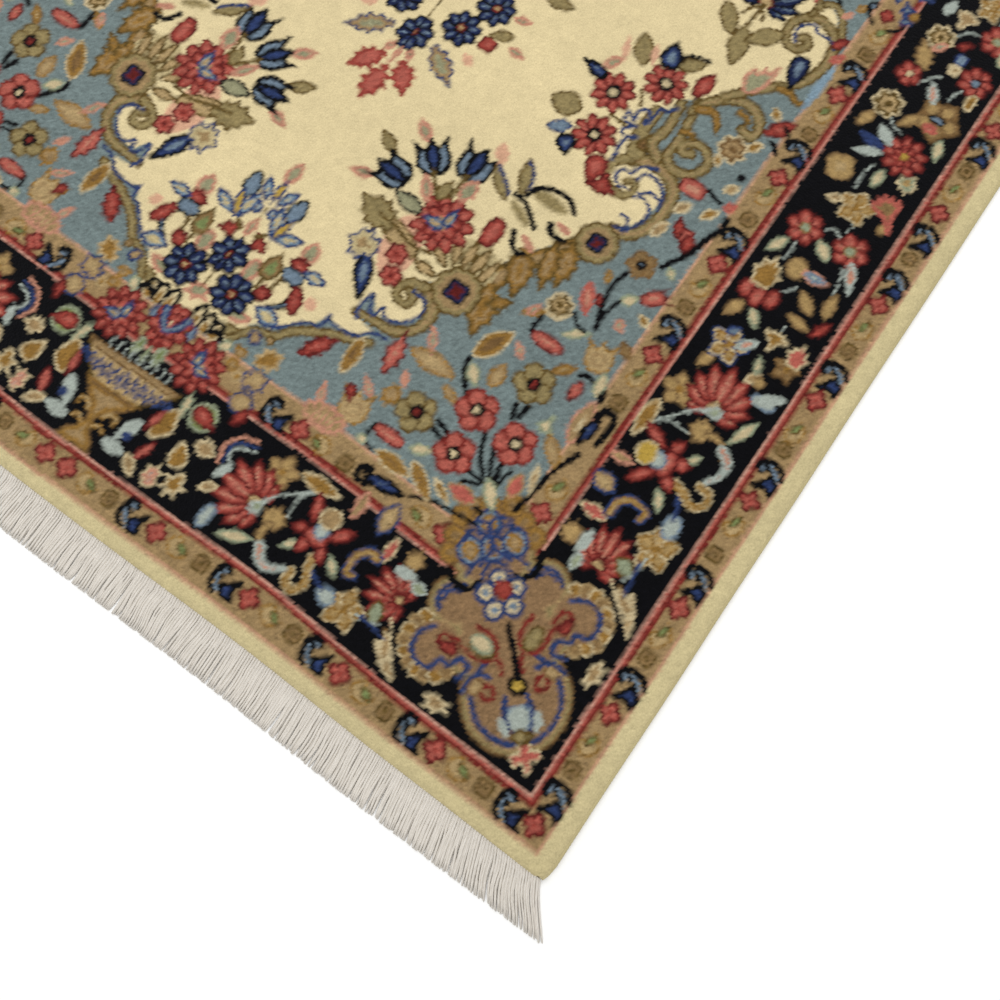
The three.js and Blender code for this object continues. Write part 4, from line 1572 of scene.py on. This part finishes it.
# Fringes: a narrow woven strip, and the warps left long, which spread outward near the corners

fringe = {"layers": 2, "strands": 424, "pitch": 2.8, "start": 998.6, "reach": 1045.5, "ragged": 1.6,
          "thick": 2.75, "sides": 4, "cuts": 5, "flare": 31.0, "flareFade": 95.0, "shorter": 4.5,
          "wave": 3.4, "stray": 0.9, "clumpOf": 6, "rootHigh": 2.6, "rootShare": 0.16}
strip = {"near": 999.2, "far": 1004.5, "high": 1.0, "halfWide": 594.0, "steps": 240}


def wander(dice, count, every):
    # smooth random walk along the row of strands
    knots = np.arange(0, count + every, every)
    return np.interp(np.arange(count), knots, dice.normal(0, 1, len(knots)))


def buildFringe(name, end, sign, seed):
    dice = np.random.default_rng(seed)
    row, count = fringe["strands"], fringe["strands"] * fringe["layers"]
    onlyThis()
    bpy.ops.mesh.primitive_cylinder_add(vertices=fringe["sides"], radius=0.5, depth=1)
    obj = bpy.context.object
    obj.name = obj.data.name = name
    mesh = obj.data
    cutAcross(obj, fringe["cuts"])
    perStrand = len(mesh.vertices)
    repeated(obj, count, (2, 0, 0), False)
    unit = verticesOf(mesh)
    strand = np.arange(len(unit)) // perStrand
    share = unit[:, 2] + 0.5
    localX, localZ = unit[:, 0] - 2 * strand, unit[:, 1]
    lane, layer = np.arange(count) % row, np.arange(count) // row
    place = (lane + 0.5 + 0.5 * layer) * fringe["pitch"] - fringe["pitch"] * (row + 0.5) / 2
    # neighbours lie together in loose clumps that bend the same way
    bend, lean = (np.tile(wander(dice, row, every), fringe["layers"])
                  for every in (fringe["clumpOf"] * 3, fringe["clumpOf"]))
    fromCorner = np.maximum(0, rug["halfWide"] - np.abs(place))
    flare = fringe["flare"] * np.exp(-fromCorner / fringe["flareFade"])
    lean = np.sign(place) * flare + 1.1 + 1.3 * lean + fringe["stray"] * dice.normal(0, 1, count)
    wave = fringe["wave"] * (bend + 0.3 * dice.normal(0, 1, count))
    phase = np.tile(wander(dice, row, fringe["clumpOf"] * 2), fringe["layers"]) * 1.4
    reach = fringe["reach"] - fringe["start"] - fringe["ragged"] * dice.uniform(0, 1, count) ** 2
    reach = reach - fringe["shorter"] * flare / fringe["flare"]
    thick = fringe["thick"] * dice.uniform(0.86, 1.08, count)
    x = place[strand] + lean[strand] * share ** 1.15
    x = x + wave[strand] * np.sin(1.9 * share * math.pi + phase[strand]) * share * (1.2 - share)
    size = thick[strand] * np.where(share > 0.97, 0.7, 1)
    back = drawIn(end, np.clip(place / rug["halfWide"], -1, 1))[strand]
    y = sign * (fringe["start"] - back + reach[strand] * share)
    root = (1 - np.clip(share / fringe["rootShare"], 0, 1)) ** 2 * fringe["rootHigh"]
    z = size * 0.42 + (1 - layer[strand]) * 0.8 + root + localZ * size * 0.84
    moveVertices(mesh, np.column_stack([x + localX * size, y, np.maximum(0.02, z)]) * mm)
    bpy.ops.object.shade_smooth()
    mesh.materials.append(cottonWarp)
    return obj


def buildStrip(name, end, sign):
    obj = closedGrid(name, strip["steps"], 2)
    mesh = obj.data
    unit = verticesOf(mesh)
    top = unit[:, 2] > -0.5
    x = unit[:, 0] * 2 * strip["halfWide"]
    depth = strip["near"] + (unit[:, 1] + 0.5) * (strip["far"] - strip["near"])
    y = sign * (depth - drawIn(end, x / rug["halfWide"]))
    weave = 0.2 * np.cos(math.pi * np.rint((unit[:, 0] + 0.5) * strip["steps"]))
    moveVertices(mesh, np.column_stack([x, y, np.where(top, strip["high"] + weave, 0)]) * mm)
    turnOutward(obj)
    mesh.materials.append(cottonWarp)
    return obj

# Materials

def node(tree, kind, links=(), **settings):
    made = tree.nodes.new(kind)
    for name, value in settings.items():
        if hasattr(made, name):
            setattr(made, name, value)
        else:
            made.inputs[name.replace("_", " ")].default_value = value
    for socket, source in links:
        tree.links.new(source, made.inputs[socket])
    return made


def newMaterial(name):
    material = bpy.data.materials.new(name)
    material.use_nodes = True
    tree = material.node_tree
    shader = tree.nodes["Principled BSDF"]
    return material, tree, shader


# Knotted sheep's wool, clipped to an even pile: matt, with a soft bloom at low angles
woolPile = {"knot": 2.6, "fibre": 0.45, "abrash": 190, "mottle": 14, "tuftBump": 0.6, "roughness": 0.95,
            "sheen": 0.04}


def makePileWool():
    material, tree, shader = newMaterial("knottedWool")
    place = node(tree, "ShaderNodeTexCoord").outputs["Object"]
    yarn = node(tree, "ShaderNodeAttribute", attribute_name="knotColour").outputs["Color"]
    fibre = node(tree, "ShaderNodeTexNoise", [("Vector", place)], Scale=1000 / (woolPile["fibre"] * 4),
                 Detail=2.0)
    mottle = node(tree, "ShaderNodeTexNoise", [("Vector", place)], Scale=1000 / woolPile["mottle"],
                  Detail=3.0)
    abrash = node(tree, "ShaderNodeTexNoise", [("Vector",
                                                node(tree, "ShaderNodeMapping", [("Vector", place)],
                  Scale=(0.25, 1, 1)).outputs[0])], Scale=1000 / woolPile["abrash"], Detail=1.0)
    mixed = yarn
    for source, low, high in ((fibre, 0.9, 1.09), (mottle, 0.95, 1.05), (abrash, 0.96, 1.03)):
        gain = node(tree, "ShaderNodeMapRange", [("Value", source.outputs[0])], From_Min=0.3, From_Max=0.7,
                    To_Min=low, To_Max=high)
        mixed = node(tree, "ShaderNodeVectorMath", [(0, mixed), (1, gain.outputs[0])],
                     operation="MULTIPLY").outputs[0]
    tufts = node(tree, "ShaderNodeTexVoronoi", [("Vector", place)], Scale=1000 / woolPile["knot"],
                 voronoi_dimensions="2D")
    heights = node(tree, "ShaderNodeMath", [(0, tufts.outputs["Distance"]), (1, fibre.outputs[0])],
                   operation="SUBTRACT")
    bump = node(tree, "ShaderNodeBump", [("Height", heights.outputs[0])], Strength=woolPile["tuftBump"],
                Distance=0.0008, invert=True)
    tree.links.new(mixed, shader.inputs["Base Color"])
    tree.links.new(bump.outputs[0], shader.inputs["Normal"])
    shader.inputs["Roughness"].default_value = woolPile["roughness"]
    shader.inputs["Specular IOR Level"].default_value = 0.08
    shader.inputs["Sheen Weight"].default_value = woolPile["sheen"]
    shader.inputs["Sheen Roughness"].default_value = 0.5
    return material


# The same wool seen from the back: flat rows of knot collars, a little duller overall, with painted shade
# darkening the grooves between the rows
def makeWovenWool():
    material, tree, shader = newMaterial("wovenKnotCollars")
    place = node(tree, "ShaderNodeTexCoord").outputs["Object"]
    yarn = node(tree, "ShaderNodeAttribute", attribute_name="knotColour").outputs["Color"]
    ribs = node(tree, "ShaderNodeTexWave", [("Vector", place)], Scale=1000 / 2.6 / 2 / math.pi * 2,
                Distortion=0.6,
                bands_direction="Y")
    # painted shade: the colour falls to 0.72 in the low parts of the ribs, following the same wave as the bump
    gain = node(tree, "ShaderNodeMapRange", [("Value", ribs.outputs[1])], To_Min=0.72, To_Max=1.02)
    groovesShaded = node(tree, "ShaderNodeVectorMath", [(0, yarn), (1, gain.outputs[0])], operation="MULTIPLY")
    bump = node(tree, "ShaderNodeBump", [("Height", ribs.outputs[1])], Strength=0.5, Distance=0.0006)
    tree.links.new(groovesShaded.outputs[0], shader.inputs["Base Color"])
    tree.links.new(bump.outputs[0], shader.inputs["Normal"])
    shader.inputs["Roughness"].default_value = 0.9
    shader.inputs["Specular IOR Level"].default_value = 0.2
    return material


# Two-ply ivory wool wound round the edge
def makeOvercastWool():
    material, tree, shader = newMaterial("overcastWool")
    place = node(tree, "ShaderNodeTexCoord").outputs["Object"]
    fuzz = node(tree, "ShaderNodeTexNoise", [("Vector", place)], Scale=700.0, Detail=3.0)
    tone = node(tree, "ShaderNodeTexNoise", [("Vector", place)], Scale=12.0, Detail=2.0)
    ramp = node(tree, "ShaderNodeMix", [("Factor", tone.outputs[0])], data_type="RGBA")
    ramp.inputs[6].default_value = (*hexColour("B4A67B"), 1)
    ramp.inputs[7].default_value = (*hexColour("C4B789"), 1)
    gain = node(tree, "ShaderNodeMapRange", [("Value", fuzz.outputs[0])], To_Min=0.8, To_Max=1.15)
    mixed = node(tree, "ShaderNodeVectorMath", [(0, ramp.outputs[2]), (1, gain.outputs[0])],
                 operation="MULTIPLY")
    bump = node(tree, "ShaderNodeBump", [("Height", fuzz.outputs[0])], Strength=0.4, Distance=0.0006)
    tree.links.new(mixed.outputs[0], shader.inputs["Base Color"])
    tree.links.new(bump.outputs[0], shader.inputs["Normal"])
    shader.inputs["Roughness"].default_value = 0.92
    shader.inputs["Specular IOR Level"].default_value = 0.2
    return material


# Undyed spun cotton, several plies twisted: off-white with a faint lustre
def makeCottonWarp():
    material, tree, shader = newMaterial("spunCotton")
    place = node(tree, "ShaderNodeTexCoord").outputs["Object"]
    stretched = node(tree, "ShaderNodeMapping", [("Vector", place)], Scale=(1, 0.18, 1)).outputs[0]
    tone = node(tree, "ShaderNodeTexNoise", [("Vector", stretched)], Scale=420.0, Detail=2.0)
    twist = node(tree, "ShaderNodeTexWave", [("Vector", node(tree, "ShaderNodeMapping", [("Vector", place)],
                 Rotation=(0, 0, 0.7)).outputs[0])], Scale=260.0, Distortion=1.0)
    ramp = node(tree, "ShaderNodeMix", [("Factor", tone.outputs[0])], data_type="RGBA")
    ramp.inputs[6].default_value = (*hexColour("CBC4B9"), 1)
    ramp.inputs[7].default_value = (*hexColour("EAE4DB"), 1)
    bump = node(tree, "ShaderNodeBump", [("Height", twist.outputs[1])], Strength=0.25, Distance=0.0004)
    tree.links.new(ramp.outputs[2], shader.inputs["Base Color"])
    tree.links.new(bump.outputs[0], shader.inputs["Normal"])
    shader.inputs["Roughness"].default_value = 0.75
    return material


# Seamless paper backdrop, near white
def makePaper():
    material, tree, shader = newMaterial("backdropPaper")
    shader.inputs["Base Color"].default_value = (*hexColour("FCFCFB"), 1)
    shader.inputs["Roughness"].default_value = 0.9
    return material


pileWool, wovenWool, overcastWool, cottonWarp, paper = (
    makePileWool(), makeWovenWool(), makeOvercastWool(), makeCottonWarp(), makePaper())
print("materials mixed")

# Making the pieces

beds = buildPile()
print("pile knotted:", len(beds), "beds")
wovenBack = buildBack()
print("back woven")
selvages = [buildSelvage("overcastLeft", -1), buildSelvage("overcastRight", 1)]
print("sides overcast")
fringes = [buildFringe("warpFringeNear", "near", -1, 31), buildFringe("warpFringeFar", "far", 1, 37)]
strips = [buildStrip("wovenStripNear", "near", -1), buildStrip("wovenStripFar", "far", 1)]
print("fringes laid")

for piece in (*beds, wovenBack):
    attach(piece, "root")
for piece in selvages:
    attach(piece, "root")
for piece in (*fringes, *strips):
    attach(piece, "root")
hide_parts("pile_carpet")
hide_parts("selvage_left")
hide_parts("selvage_right")
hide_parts("fringe_near")
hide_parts("fringe_far")

# Floor, light and camera

studio = {"floorSize": 14.0, "keyPower": 60.0, "keySize": 3.2, "keyPlace": (-1.4, 0.9, 3.2),
          "skyStrength": 0.88,
          "skyColour": "FFFFFF"}
onlyThis()
bpy.ops.mesh.primitive_plane_add(size=studio["floorSize"], location=(0, 0, 0))
floor = bpy.context.object
floor.name = "backdropFloor"
floor.data.materials.append(paper)
bpy.ops.object.light_add(type="AREA", location=studio["keyPlace"])
keyLight = bpy.context.object
keyLight.data.energy = studio["keyPower"]
keyLight.data.size = studio["keySize"]
sky = bpy.data.worlds.new("paleStudio")
bpy.context.scene.world = sky
sky.use_nodes = True
sky.node_tree.nodes["Background"].inputs["Color"].default_value = (*hexColour(studio["skyColour"]), 1)
sky.node_tree.nodes["Background"].inputs["Strength"].default_value = studio["skyStrength"]

view = {"place": (0.5136, -0.8078, 0.8466), "yaw": -0.6631629, "tilt": -0.2186879, "roll": 0.0523609,
        "lens": 32.4, "sensor": 36.0, "shift": (-0.08, -0.06)}


def cameraTurn():
    def about(axis, angle):
        return Matrix.Rotation(angle, 3, axis)
    return (about("Z", view["roll"]) @ about("X", view["tilt"]) @ about("Z", view["yaw"])).transposed()


bpy.ops.object.camera_add(location=view["place"])
camera = bpy.context.object
camera.matrix_world = Matrix.Translation(view["place"]) @ cameraTurn().to_4x4()
camera.data.lens = view["lens"]
camera.data.sensor_width = view["sensor"]
camera.data.sensor_fit = "HORIZONTAL"
camera.data.shift_x, camera.data.shift_y = view["shift"]
camera.data.clip_start = 0.01
bpy.context.scene.camera = camera
bpy.context.scene.view_settings.view_transform = "Standard"

triangles = sum(len(face.vertices) - 2 for piece in (*beds, wovenBack, *selvages, *fringes, *strips)
                for face in piece.data.polygons)
print("triangles laid:", triangles)
